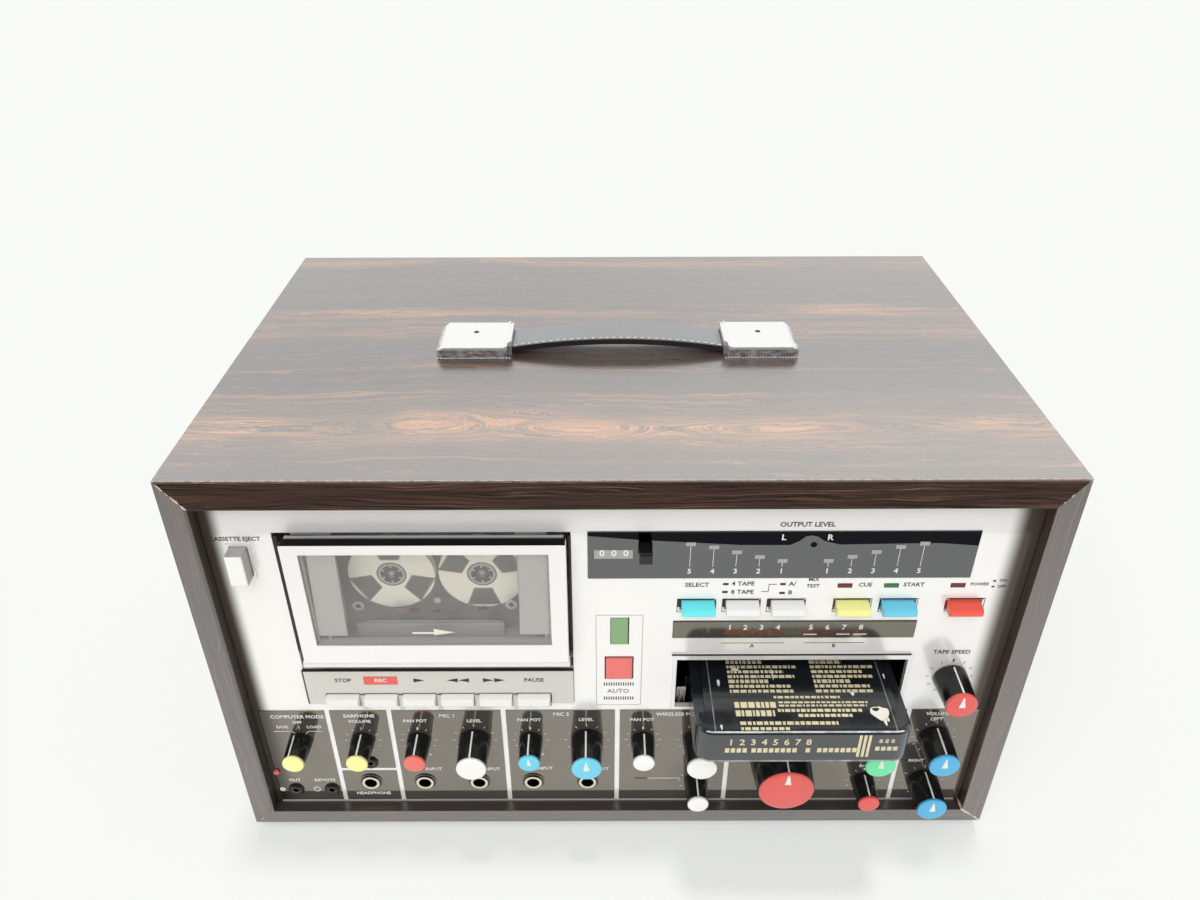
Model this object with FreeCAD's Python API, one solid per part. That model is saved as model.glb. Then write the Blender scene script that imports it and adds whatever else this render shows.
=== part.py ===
"""Portable 8-track cartridge and cassette player in a wooden cabinet.

Everything is first drawn in the cabinet frame: X to the right, Y to the back from the front
edge of the cabinet, Z up from the underside of its bottom board.  stand_on_feet() then moves
it so that Z = 0 is the floor and the footprint is centred.  All sizes are in millimetres.
"""
import FreeCAD, Part
import math
import os

Vector = FreeCAD.Vector

# ---- Clearances ----
SEAT_GAP = 0.3            # between a moving piece and the opening that it moves in
FIT_GAP = 0.2             # round a piece that is set into an opening and stays there
RUNNING_GAP = 0.05        # radial, shaft in bearing

# ---- Cabinet boards ----
BOARD = 13.2
CABINET_DEPTH = 255.0
RIM_PROUD = 3.0           # how far the bevelled rim stands out along its inner edge
FACE_SETBACK = 4.0
FACE_THICKNESS = 2.0
BACK_SETBACK = 8.0
BACK_THICKNESS = 4.0

# ---- Front layout, left to right ----
EJECT_STRIP_WIDTH = 30.8
BAY_MARGIN = 33.0         # cassette bay, wider than the cassette by this much
BAY_GAP = 7.6
DISPLAY_WIDTH = 175.5
RIGHT_MARGIN = 26.3

# ---- Front layout, bottom to top ----
PANEL_MARGIN = 1.5
PANEL_HEIGHT = 69.8
SLOT_SILL = 3.0
SLOT_HEIGHT = 32.8        # mouth of the cartridge slot
BEZEL_LIP = 3.4
STRIP_GAP = 10.8
STRIP_HEIGHT = 10.5
BUTTON_GAP = 6.8
BUTTON_SLOT_HEIGHT = 6.2
DISPLAY_GAP = 13.8
DISPLAY_HEIGHT = 26.7
TOP_MARGIN = 17.3

# ---- Feet ----
FOOT_HEIGHT = 8.0
FOOT_RADIUS = 11.0
FOOT_TIP_RADIUS = 9.0
FOOT_INSET = 30.0
FOOT_SCREW_RADIUS = 3.5
FOOT_RECESS = 4.0

# ---- Carrying handle ----
BRACKET_LENGTH = 39.5
BRACKET_DEPTH = 31.0
BRACKET_HEIGHT = 6.3
BRACKET_FLARE = 2.0
BRACKET_CORNER = 4.0
BRACKET_REACH = 95.0      # centre of the cabinet to the outer end of a bracket
STRAP_WIDTH = 20.5
STRAP_THICKNESS = 3.0
STRAP_RISE = 4.5          # arch of the strap over its free length
STRAP_TUCK = 12.0         # length of strap inside a bracket
STRAP_LIFT = 1.2          # underside of the strap above the cabinet at its ends

# ---- Control panel fields ----
FIELD_WIDTHS = [33.7, 29.1, 55.8, 55.8, 55.8, 88.0]
FIELD_LINE = 2.5          # bright line between two fields
FIELD_THICKNESS = 0.4
FIELD_SIDE = 2.8
JACK_FIELD_HEIGHT = 23.3

# ---- Knobs ----
COLUMN_PITCH = 29.2
COLUMN_SHIFT = -1.2
FUNCTION_NUDGE = 3.3       # the big knob sits this far left of its column
FUNCTION_TO_LEVEL = 45.6   # big knob to the tone column
UPPER_ROW = 47.8          # above the bottom of the control panel
LOWER_ROW = 15.1
RIGHT_ROW = 49.3
BIG_ROW = 30.8
SPEED_KNOB_RISE = 20.3    # above the cartridge slot's sill
SPEED_KNOB_INSET = 23.2
KNOB_STANDOFF = 0.5
SHAFT_RADIUS = 3.0
SHAFT_REACH = 11.0        # from the back of the knob into the potentiometer
KNOB_BEVEL = 0.8
POINTER_WIDTH = 1.0
POINTER_DEPTH = 0.5
CAP_RECESS = 0.5
CAP_RIM = 0.9
KNOB_STYLES = {
    # base radius, front radius, length
    "small": (6.2, 5.4, 15.3),
    "large": (8.4, 7.5, 18.7),
    "big": (16.0, 14.6, 18.7),
}

# ---- Potentiometers and boards behind the face ----
POT_HALF = 8.0             # half the side of its square case
POT_DEPTH = 10.0
BUSH_WALL = 0.9
BOARD_THICKNESS = 1.6
CONTROL_BOARD_LIP = 12.0
SPACER_LENGTH = 2.0
DISPLAY_BOARD_LIP = 10.0   # past the right end of the display
SPACER_INSET = 6.0

# ---- Jacks ----
PHONE_BORE = 3.3
PHONE_RING = 4.7
PHONE_WASHER = 5.8
PHONE_DEPTH = 20.0
PHONE_BODY = 13.0
MINI_BORE = 1.85
MINI_RING = 3.4
MINI_WASHER = 4.2
MINI_DEPTH = 12.0
MINI_BODY = 9.0
EARPHONE_RISE = 30.5      # above the bottom of the control panel
MINI_ROW = 8.9
MINI_X = [9.3, 28.8]      # from the left edge of the control panel
WASHER_THICKNESS = 0.6
RING_THICKNESS = 0.8

# ---- Lamps ----
LAMP_RADIUS = 1.6
POWER_LAMP_RISE = 23.1
POWER_LAMP_INSET = 3.9
BAR_LAMP_WIDTH = 6.5
BAR_LAMP_HEIGHT = 2.1
BAR_LAMP_RISE = 7.8       # above a push-button slot
BAR_LAMP_SHIFT = -4.6      # from the middle of the button below
LENS_WIDTH = 8.1
LENS_HEIGHT = 16.5
LAMP_DEPTH = 6.0

# ---- Push buttons in a row ----
# left edge from the left edge of the display, width, how far it stands out
PUSH_BUTTONS = [
    ("push_button_1", 43.5, 15.6, 5.8),
    ("push_button_2", 64.3, 15.6, 5.8),
    ("push_button_3", 85.4, 15.6, 5.8),
    ("push_button_4", 115.6, 15.6, 6.2),
    ("push_button_5", 137.1, 15.6, 6.2),
    ("push_button_6", 167.9, 15.6, 6.2),
]
BUTTON_STEM = 12.0
BUTTON_STEM_HEIGHT = 2.6
BUTTON_STEM_WIDTH = 5.0
BUTTON_EDGE = 0.6
BUTTON_REAR = 3.3          # cap behind the faceplate
BUTTON_PLAY = 0.8          # dark gap round a push button
BUTTON_SLOPE = 0.9         # fall of its top from the faceplate to its nose
BUTTON_NOSE = 1.5

# ---- Square button and lens in the centre column ----
COLUMN_INSET = 14.7       # centre line from the left edge of the display
SQUARE_WIDTH = 13.0
SQUARE_HEIGHT = 14.0
SQUARE_PROUD = 1.2
SQUARE_RISE = 22.8        # above the top of the control panel
LENS_RISE = 46.0

# ---- Eject button ----
EJECT_WIDTH = 7.8
EJECT_HEIGHT = 16.5
EJECT_PROUD = 8.5
EJECT_DROP = 7.5          # below the top of the bay
EJECT_GAP = 12.0          # left of the bay
EJECT_FRAME = 1.2
EJECT_FRAME_PROUD = 0.8

# ---- Display and counter ----
GLASS_THICKNESS = 2.0
GLASS_PROUD = 0.5
GLASS_LEDGE = 2.0
RESET_INSET = 23.0        # left edge from the left edge of the display
RESET_WIDTH = 5.8
RESET_HEIGHT = 5.7
RESET_DROP = 6.0          # top of the button below the top of the glass
RESET_PROUD = 8.7
STRIP_INSET = 40.3
STRIP_WIDTH = 115.6

# ---- Cassette door ----
DOOR_LEFT_GAP = 5.0
DOOR_RIGHT_GAP = 1.9
DOOR_TOP_GAP = 0.9
DOOR_HEIGHT = 71.6
DOOR_PROUD = 8.0          # front of the door ahead of the faceplate
DOOR_THICKNESS = 4.5
DOOR_CORNER = 1.2
DOOR_ROOF = 1.5            # wall that runs back from the top edge into the opening
DOOR_ROOF_DEPTH = 2.9
RAIL_HEIGHT = 4.0
RAIL_OVERHANG = 1.0
WINDOW_SIDE = 7.8
WINDOW_TOP = 5.7
WINDOW_BOTTOM = 11.3
PANE_THICKNESS = 2.0
PANE_LEDGE = 1.2
HINGE_DROP = 8.0          # pivot below the bottom edge of the door frame
HINGE_SETBACK = 6.0       # pivot behind the front of the faceplate
HINGE_PIN_RADIUS = 2.0
EAR_RADIUS = 3.0
EAR_THICKNESS = 3.0
CHANNEL_LEFT = 18.0       # width of the channel's front flange
CHANNEL_RIGHT = 14.3
CHANNEL_WALL = 1.5
LIP_WIDTH = 71.0
LIP_HEIGHT = 11.0

# ---- Compact cassette ----
CASSETTE_WIDTH = 100.4
CASSETTE_HEIGHT = 63.8
CASSETTE_THICKNESS = 8.7
CASSETTE_BULGE = 1.6      # extra on each face along the tape edge
CASSETTE_WALL = 1.1
CASSETTE_CORNER = 2.5
CASSETTE_FRONT = 10.5     # front face behind the cabinet's front edge
CASSETTE_TOP_GAP = 2.1    # below the top of the bay
CASSETTE_SHIFT = 3.1      # right of the middle of the bay
HUB_SPACING = 42.5
HUB_RISE = 34.6
HUB_HOLE = 5.6
BULGE_HEIGHT = 15.0
BULGE_TOP = 46.0
BULGE_BASE = 64.0
HEAD_POCKET = 9.0
HEAD_SLOT = 18.0           # opening for the playing head in the tape edge
SIDE_SLOT = 8.0            # openings for the erase head and the roller
SIDE_SLOT_OFFSET = 17.0
SLOT_LIP = 2.0
BULGE_FLARE = 6.0
REEL_GAP = 1.7            # between the two reels
REEL_HUB = 6.4
REEL_BORE = 4.9
REEL_TOOTH = 0.9
REEL_TEETH = 6
REEL_WINDOWS = 3
REEL_FLANGE = 1.0
REEL_THICKNESS = 4.6
CAPSTAN_HOLE = 3.8
CAPSTAN_SIDE = 26.0       # capstan from the middle of the cassette
CAPSTAN_RISE = 8.5

# ---- Cassette drive ----
SPINDLE_RADIUS = 1.5
SPINDLE_TIP_RADIUS = 1.9
SPINDLE_FIN = 3.0
SPINDLE_REACH = 5.0       # length of the tip inside the hub
SPINDLE_TABLE = 4.2
PULLEY_RADIUS = 9.0
PULLEY_WIDTH = 3.0
CAPSTAN_RADIUS = 1.2
CAPSTAN_REACH = 5.0
FLYWHEEL_RADIUS = 22.0
FLYWHEEL_WIDTH = 6.0
BEARING_WALL = 2.4
BEARING_LENGTH = 5.0
BELT_THICKNESS = 0.8
BELT_WIDTH = 3.0
MOTOR_RADIUS = 15.0
MOTOR_LENGTH = 30.0
MOTOR_PULLEY = 4.0
MOTOR_SIDE = 27.0         # left of the middle of the cassette
MOTOR_POST_RADIUS = 2.0
MOTOR_POST_X = [-12.0, 3.0]
HEAD_WIDTH = 14.0
HEAD_BASE_REACH = 30.0    # left of the middle of the cassette
ERASE_HEAD_FAR = 24.0
ERASE_HEAD_NEAR = 15.0
HEAD_HEIGHT = 11.0
HEAD_DROP = 1.6           # below the cassette while the transport is stopped
ROLLER_RADIUS = 5.0

# ---- Cassette well ----
WELL_WALL = 1.8
WELL_BACK = 27.0          # front of the well's back wall
WELL_SIDE_GAP = 1.2

# ---- Piano keys ----
KEY_COUNT = 6
KEY_PITCH = 19.1
KEY_WIDTH = 16.4
KEY_HEIGHT = 5.2
KEY_REACH = 5.5          # in front of the faceplate
KEY_SLOPE = 0.6
KEY_TOP_RISE = 13.2       # above the control panel
KEY_START = 9.6           # first key from the left side of the bay
KEY_TRAVEL = 4.5
KEY_PIVOT_Y = 50.0
KEY_PIVOT_DROP = 7.5
KEY_ARM = 3.0
KEY_ARM_HEIGHT = 7.0
KEY_ROD_RADIUS = 2.0
KEY_EDGE = 0.8
SURROUND_HEIGHT = 22.7
SURROUND_PROUD = 1.5
SURROUND_LEG_RISE = 6.3

# ---- Cartridge ----
CARTRIDGE_WIDTH = 101.6
CARTRIDGE_LENGTH = 133.0
CARTRIDGE_HEIGHT = 20.5
CARTRIDGE_REACH = 32.0    # in front of the cabinet's front edge
CARTRIDGE_CORNER = 8.0
CARTRIDGE_EDGE = 2.5
CARTRIDGE_LIFT = 1.0      # above the slot's sill
CARTRIDGE_SHIFT = 1.6     # right of the middle of the slot
CARTRIDGE_STEP_WIDTH = 5.0
CARTRIDGE_STEP_DROP = 2.2
CARTRIDGE_NOTCH = 24.0    # roller recess, side to side
CARTRIDGE_NOTCH_DEPTH = 19.0
CARTRIDGE_NOTCH_INSET = 6.0
CARTRIDGE_WINDOW = 26.0
CARTRIDGE_WINDOW_DEPTH = 6.0
CARTRIDGE_SKIN = 2.0
PINCH_RADIUS = 7.0

# ---- Cartridge slot and tray ----
SLOT_PLAY = 11.2          # wider than the cartridge by this much
SLOT_INSET = 43.0         # left edge from the left edge of the display
BEZEL_SIDE = 1.9
BEZEL_PROUD = 1.0
BEZEL_SILL = 1.8
BEZEL_WALL = 1.0          # sleeve that lines the mouth
TRAY_WALL = 1.4
TRAY_GUIDE_HEIGHT = 12.0

# ---- 8-track drive ----
TRACK_CAPSTAN_RADIUS = 1.6
TRACK_CAPSTAN_HEIGHT = 24.0
TRACK_CAPSTAN_REACH = 15.0  # above the underside of the cartridge
TRACK_FLYWHEEL_RADIUS = 32.0
TRACK_FLYWHEEL_HEIGHT = 8.0
TRACK_MOTOR_RADIUS = 16.0
TRACK_MOTOR_HEIGHT = 32.0
TRACK_MOTOR_SIDE = 57.0
TRACK_MOTOR_BACK = 38.0
TRACK_HEAD_WIDTH = 18.0
TRACK_HEAD_DEPTH = 8.0
TRACK_HEAD_HEIGHT = 16.0

# ---- Chassis ----
SHEET = 1.5
CHASSIS_SIDE_GAP = 8.0
FLOOR_BACK_GAP = 9.2      # chassis floor to the back panel
DECK_LENGTH = 126.0
DECK_SIDE = 6.0
BEARING_PLATE_HEIGHT = 174.0

# ---- Power supply and main board ----
CORE_WIDTH = 58.0
CORE_DEPTH = 34.0
CORE_HEIGHT = 48.0
COIL_BULGE = 9.0
COIL_LIFT = 9.0            # coil above the chassis floor
COIL_DROP = 8.0            # coil below the top of the core
COIL_CORNER = 5.0
FOOT_TAB = 10.0            # foot bracket past each end of the core
FOOT_BRACKET_HALF = 8.0
TRANSFORMER_X = 95.0
TRANSFORMER_INSET = 30.8   # middle to the back edge of the chassis floor
MAIN_BOARD_WIDTH = 150.0
MAIN_BOARD_LENGTH = 120.0
MAIN_BOARD_X = -95.0
MAIN_BOARD_FRONT = 80.0
STANDOFF_HEIGHT = 8.0
STANDOFF_RADIUS = 3.0
HEATSINK_WIDTH = 90.0
HEATSINK_INSET = 24.0     # from the back edge of the board
HEATSINK_HEIGHT = 32.0
HEATSINK_FINS = 9
FIN_DEPTH = 14.0
CAPACITOR_RADIUS = 9.0
CAPACITOR_HEIGHT = 26.0
CAPACITOR_INSET = 20.0     # from the right edge of the board
CAPACITOR_START = 30.0     # from its front edge
CAPACITOR_PITCH = 28.0

# ---- Back panel ----
VENT_ROWS = 2
VENT_COLUMNS = 12
VENT_WIDTH = 4.0
VENT_HEIGHT = 30.0
VENT_PITCH = 10.0
SOCKET_PLATE_WIDTH = 42.0
SOCKET_PLATE_HEIGHT = 34.0
SOCKET_WINDOW_LIP = 5.0
SOCKET_PLATE_Z = 62.0
SOCKET_PITCH = 16.0
SOCKET_RADIUS = 4.1
SOCKET_PIN_RADIUS = 2.2
SOCKET_LENGTH = 5.0
INLET_WIDTH = 22.0
INLET_HEIGHT = 14.0
INLET_CAVITY = 9.0
TERMINAL_PLATE_X = [-130.0, -70.0, 120.0]

# ---- Places worked out from the sizes above ----
BAY_WIDTH = CASSETTE_WIDTH + BAY_MARGIN
INNER_WIDTH = EJECT_STRIP_WIDTH + BAY_WIDTH + BAY_GAP + DISPLAY_WIDTH + RIGHT_MARGIN
CABINET_WIDTH = INNER_WIDTH + 2 * BOARD
WALL_RIGHT = INNER_WIDTH / 2
WALL_LEFT = -WALL_RIGHT
BAY_LEFT = WALL_LEFT + EJECT_STRIP_WIDTH
BAY_RIGHT = BAY_LEFT + BAY_WIDTH
DISPLAY_LEFT = BAY_RIGHT + BAY_GAP
DISPLAY_RIGHT = DISPLAY_LEFT + DISPLAY_WIDTH
PANEL_LEFT = WALL_LEFT + FIELD_SIDE
PANEL_RIGHT = WALL_RIGHT - FIELD_SIDE
SLOT_LEFT = DISPLAY_LEFT + SLOT_INSET
SLOT_RIGHT = SLOT_LEFT + CARTRIDGE_WIDTH + SLOT_PLAY
COLUMN_X = DISPLAY_LEFT + COLUMN_INSET

PANEL_BOTTOM = BOARD + PANEL_MARGIN
PANEL_TOP = PANEL_BOTTOM + PANEL_HEIGHT
SLOT_BOTTOM = PANEL_TOP + SLOT_SILL
SLOT_TOP = SLOT_BOTTOM + SLOT_HEIGHT
BEZEL_TOP = SLOT_TOP + BEZEL_LIP
STRIP_BOTTOM = BEZEL_TOP + STRIP_GAP
STRIP_TOP = STRIP_BOTTOM + STRIP_HEIGHT
BUTTON_SLOT_BOTTOM = STRIP_TOP + BUTTON_GAP
BUTTON_SLOT_TOP = BUTTON_SLOT_BOTTOM + BUTTON_SLOT_HEIGHT
DISPLAY_BOTTOM = BUTTON_SLOT_TOP + DISPLAY_GAP
DISPLAY_TOP = DISPLAY_BOTTOM + DISPLAY_HEIGHT
BAY_TOP = DISPLAY_TOP
CEILING = DISPLAY_TOP + TOP_MARGIN
CABINET_HEIGHT = CEILING + BOARD

FACE_FRONT = FACE_SETBACK
FACE_BACK = FACE_FRONT + FACE_THICKNESS
FIELD_FRONT = FACE_FRONT - FIELD_THICKNESS
KNOB_BACK = FIELD_FRONT - KNOB_STANDOFF

DOOR_LEFT = BAY_LEFT + DOOR_LEFT_GAP
DOOR_RIGHT = BAY_RIGHT - DOOR_RIGHT_GAP
DOOR_TOP = BAY_TOP - DOOR_TOP_GAP
DOOR_BOTTOM = DOOR_TOP - DOOR_HEIGHT
DOOR_FRONT = FACE_FRONT - DOOR_PROUD
DOOR_BACK = DOOR_FRONT + DOOR_THICKNESS
HINGE_Y = FACE_FRONT + HINGE_SETBACK
HINGE_Z = DOOR_BOTTOM - HINGE_DROP

CASSETTE_X = (BAY_LEFT + BAY_RIGHT) / 2 + CASSETTE_SHIFT
CASSETTE_TOP = BAY_TOP - CASSETTE_TOP_GAP
CASSETTE_BOTTOM = CASSETTE_TOP - CASSETTE_HEIGHT
CASSETTE_BACK = CASSETTE_FRONT + CASSETTE_THICKNESS
HUB_Z = CASSETTE_BOTTOM + HUB_RISE
HUB_LEFT_X = CASSETTE_X - HUB_SPACING / 2
HUB_RIGHT_X = CASSETTE_X + HUB_SPACING / 2
REEL_RADIUS = (HUB_SPACING - REEL_GAP) / 2
CAPSTAN_X = CASSETTE_X + CAPSTAN_SIDE
CAPSTAN_Z = CASSETTE_BOTTOM + CAPSTAN_RISE

KEY_TOP = PANEL_TOP + KEY_TOP_RISE
KEY_BOTTOM = KEY_TOP - KEY_HEIGHT
KEY_SLOT_BOTTOM = KEY_BOTTOM - KEY_TRAVEL - 2 * SEAT_GAP
KEY_PIVOT_Z = KEY_TOP - KEY_PIVOT_DROP
KEYS_LEFT = BAY_LEFT + KEY_START
KEYS_RIGHT = KEYS_LEFT + (KEY_COUNT - 1) * KEY_PITCH + KEY_WIDTH
SURROUND_BOTTOM = PANEL_TOP + SURROUND_LEG_RISE
SURROUND_TOP = SURROUND_BOTTOM + SURROUND_HEIGHT

WELL_FLOOR = HINGE_Z - EAR_RADIUS - SEAT_GAP - WELL_WALL - 1.0
WELL_LEFT = BAY_LEFT - WELL_SIDE_GAP
WELL_RIGHT = BAY_RIGHT + WELL_SIDE_GAP
PLATE_FRONT = WELL_BACK + WELL_WALL
PLATE_BACK = PLATE_FRONT + SHEET
FLOOR_END = CABINET_DEPTH - BACK_SETBACK - BACK_THICKNESS - FLOOR_BACK_GAP

CARTRIDGE_X = (SLOT_LEFT + SLOT_RIGHT) / 2 + CARTRIDGE_SHIFT
CARTRIDGE_BOTTOM = SLOT_BOTTOM + CARTRIDGE_LIFT
CARTRIDGE_TOP = CARTRIDGE_BOTTOM + CARTRIDGE_HEIGHT
CARTRIDGE_END = CARTRIDGE_LENGTH - CARTRIDGE_REACH
TRAY_FLOOR = CARTRIDGE_BOTTOM - SEAT_GAP
TRAY_FRONT = FACE_BACK
TRAY_BACK = CARTRIDGE_END + SEAT_GAP
DECK_TOP = TRAY_FLOOR - TRAY_WALL
DECK_BOTTOM = DECK_TOP - SHEET
TRACK_CAPSTAN_X = CARTRIDGE_X - CARTRIDGE_WIDTH / 2 + CARTRIDGE_NOTCH_INSET + CARTRIDGE_NOTCH / 2
TRACK_CAPSTAN_Y = CARTRIDGE_END - TRACK_CAPSTAN_RADIUS - 0.6
CHASSIS_FLOOR = BOARD + SHEET


# ---- Solid helpers ----
def block(x0, x1, y0, y1, z0, z1):
    return Part.makeBox(x1 - x0, y1 - y0, z1 - z0, Vector(x0, y0, z0))


def rod_y(x, z, y0, y1, radius):
    return Part.makeCylinder(radius, y1 - y0, Vector(x, y0, z), Vector(0, 1, 0))


def rod_z(x, y, z0, z1, radius):
    return Part.makeCylinder(radius, z1 - z0, Vector(x, y, z0), Vector(0, 0, 1))


def rod_x(y, z, x0, x1, radius):
    return Part.makeCylinder(radius, x1 - x0, Vector(x0, y, z), Vector(1, 0, 0))


def prism(points, direction):
    """Extrude a closed polygon of (x, y, z) points along direction."""
    corners = [Vector(*point) for point in points]
    outline = Part.makePolygon(corners + corners[:1])
    return Part.Face(outline).extrude(Vector(*direction))


def edges_along(shape, axis):
    """Straight edges of a shape that run along a unit axis."""
    found = []
    for edge in shape.Edges:
        if edge.Curve.TypeId != "Part::GeomLine":
            continue
        start, end = edge.Vertexes[0].Point, edge.Vertexes[-1].Point
        run = (end - start).normalize()
        if abs(abs(run.dot(Vector(*axis))) - 1) < 1e-6:
            found.append(edge)
    return found


def rounded_block(x0, x1, y0, y1, z0, z1, radius, axis):
    """A block whose four edges along axis are rounded."""
    shape = block(x0, x1, y0, y1, z0, z1)
    return shape.makeFillet(radius, edges_along(shape, axis))


def revolve_y(profile, x, z):
    """Turn a closed (radius, y) profile about the line parallel to Y at x, z."""
    points = [Vector(x + radius, y, z) for radius, y in profile]
    face = Part.Face(Part.makePolygon(points + points[:1]))
    return face.revolve(Vector(x, 0, z), Vector(0, 1, 0), 360)


def tube_y(x, z, y0, y1, outer, inner):
    return rod_y(x, z, y0, y1, outer).cut(rod_y(x, z, y0, y1, inner))


def frame_block(outer, inner, y0, y1):
    """A rectangular ring between two (x0, x1, z0, z1) rectangles."""
    solid = block(outer[0], outer[1], y0, y1, outer[2], outer[3])
    hole = block(inner[0], inner[1], y0, y1, inner[2], inner[3])
    return solid.cut(hole)


def loop_outline(centre_a, radius_a, centre_b, radius_b, lift):
    """Closed wire round two circles, with lift turning plane (u, v) points into 3-D."""
    run = math.hypot(centre_b[0] - centre_a[0], centre_b[1] - centre_a[1])
    heading = math.atan2(centre_b[1] - centre_a[1], centre_b[0] - centre_a[0])
    lean = math.acos((radius_a - radius_b) / run)

    def on(centre, radius, angle):
        return lift(centre[0] + radius * math.cos(angle), centre[1] + radius * math.sin(angle))

    up, down = heading + lean, heading - lean
    a_up, a_far, a_down = (on(centre_a, radius_a, t) for t in (up, heading + math.pi, down))
    b_up, b_far, b_down = (on(centre_b, radius_b, t) for t in (up, heading, down))
    edges = [
        Part.Arc(a_up, a_far, a_down).toShape(),
        Part.LineSegment(a_down, b_down).toShape(),
        Part.Arc(b_down, b_far, b_up).toShape(),
        Part.LineSegment(b_up, a_up).toShape(),
    ]
    return Part.Wire(edges)


def belt(centre_a, radius_a, centre_b, radius_b, lift, direction):
    """Flat belt round two pulleys, standing SEAT_GAP off both."""
    inner = [radius + SEAT_GAP for radius in (radius_a, radius_b)]
    outer = [radius + BELT_THICKNESS for radius in inner]
    outside = Part.Face(loop_outline(centre_a, outer[0], centre_b, outer[1], lift))
    inside = Part.Face(loop_outline(centre_a, inner[0], centre_b, inner[1], lift))
    run = Vector(*direction)
    return outside.extrude(run).cut(inside.extrude(run))


# ---- Cabinet ----
def cabinet_boards():
    half, wall = CABINET_WIDTH / 2, WALL_RIGHT
    outer = [(-half, 0), (half, 0), (half, CABINET_HEIGHT), (-half, CABINET_HEIGHT)]
    inner = [(-wall, BOARD), (wall, BOARD), (wall, CEILING), (-wall, CEILING)]
    boards = []
    for i in range(4):
        j = (i + 1) % 4
        corners = [outer[i], outer[j], inner[j], inner[i]]
        board = prism([(x, -RIM_PROUD, z) for x, z in corners], (0, CABINET_DEPTH + RIM_PROUD, 0))
        boards.append(board.cut(rim_bevel(outer[i], outer[j], inner[i], inner[j])))
    return boards


def rim_bevel(outer_a, outer_b, inner_a, inner_b):
    """Wedge that takes the rim back from its proud inner edge to the outer edge."""
    def corner(point, y):
        return Vector(point[0], y, point[1])

    ahead = -RIM_PROUD - 1
    faces = [
        [corner(outer_a, 0), corner(outer_b, 0), corner(inner_b, -RIM_PROUD), corner(inner_a, -RIM_PROUD)],
        [corner(outer_a, ahead), corner(outer_b, ahead), corner(inner_b, ahead), corner(inner_a, ahead)],
        [corner(outer_a, 0), corner(outer_b, 0), corner(outer_b, ahead), corner(outer_a, ahead)],
        [corner(inner_a, -RIM_PROUD), corner(inner_b, -RIM_PROUD), corner(inner_b, ahead), corner(inner_a, ahead)],
        [corner(outer_a, 0), corner(inner_a, -RIM_PROUD), corner(inner_a, ahead), corner(outer_a, ahead)],
        [corner(outer_b, 0), corner(inner_b, -RIM_PROUD), corner(inner_b, ahead), corner(outer_b, ahead)],
    ]
    shell = Part.Shell([Part.Face(Part.makePolygon(face + face[:1])) for face in faces])
    return Part.Solid(shell)


def feet():
    found = []
    x_inset = CABINET_WIDTH / 2 - FOOT_INSET
    for x in (-x_inset, x_inset):
        for y in (FOOT_INSET, CABINET_DEPTH - FOOT_INSET):
            foot = Part.makeCone(FOOT_TIP_RADIUS, FOOT_RADIUS, FOOT_HEIGHT, Vector(x, y, -FOOT_HEIGHT))
            recess = rod_z(x, y, -FOOT_HEIGHT, -FOOT_HEIGHT + FOOT_RECESS, FOOT_SCREW_RADIUS)
            found.append(foot.cut(recess))
    return found


# ---- Carrying handle ----
def handle_bracket(side):
    """Moulded strap end; side is -1 for the left one and 1 for the right one."""
    middle = CABINET_DEPTH / 2
    near, far = BRACKET_REACH - BRACKET_LENGTH, BRACKET_REACH
    base, top = CABINET_HEIGHT, CABINET_HEIGHT + BRACKET_HEIGHT
    side_view = [(near, base), (far, base), (far, base + BRACKET_HEIGHT * 0.6),
                 (far - BRACKET_CORNER, top), (near + BRACKET_CORNER, top), (near, top + BRACKET_FLARE)]
    front = middle - BRACKET_DEPTH / 2
    body = prism([(x, front, z) for x, z in side_view], (0, BRACKET_DEPTH, 0))
    back = middle + BRACKET_DEPTH / 2
    upright = [edge for edge in edges_along(body, (0, 0, 1)) if edge.CenterOfMass.x > far - 1]
    body = body.makeFillet(BRACKET_CORNER, upright)
    pocket = block(near, near + STRAP_TUCK + SEAT_GAP, middle - STRAP_WIDTH / 2 - SEAT_GAP,
                   middle + STRAP_WIDTH / 2 + SEAT_GAP, base,
                   base + STRAP_LIFT + STRAP_THICKNESS + 2 * SEAT_GAP)
    body = body.cut(pocket)
    for y in (front, back - BRACKET_CORNER):
        body = body.cut(block(near, near + BRACKET_CORNER / 2, y, y + BRACKET_CORNER, base, top + BRACKET_FLARE))
    if side < 0:
        body = body.mirror(Vector(0, 0, 0), Vector(1, 0, 0))
    return body


def handle_strap():
    """Arched strap whose straight ends lie in the bracket pockets."""
    free = BRACKET_REACH - BRACKET_LENGTH
    end = free + STRAP_TUCK
    low = CABINET_HEIGHT + STRAP_LIFT
    high = low + STRAP_THICKNESS
    middle = CABINET_DEPTH / 2

    def at(x, z):
        return Vector(x, middle - STRAP_WIDTH / 2, z)

    edges = [
        Part.LineSegment(at(-end, low), at(-free, low)).toShape(),
        Part.Arc(at(-free, low), at(0, low + STRAP_RISE), at(free, low)).toShape(),
        Part.LineSegment(at(free, low), at(end, low)).toShape(),
        Part.LineSegment(at(end, low), at(end, high)).toShape(),
        Part.LineSegment(at(end, high), at(free, high)).toShape(),
        Part.Arc(at(free, high), at(0, high + STRAP_RISE), at(-free, high)).toShape(),
        Part.LineSegment(at(-free, high), at(-end, high)).toShape(),
        Part.LineSegment(at(-end, high), at(-end, low)).toShape(),
    ]
    return Part.Face(Part.Wire(edges)).extrude(Vector(0, STRAP_WIDTH, 0))


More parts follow.
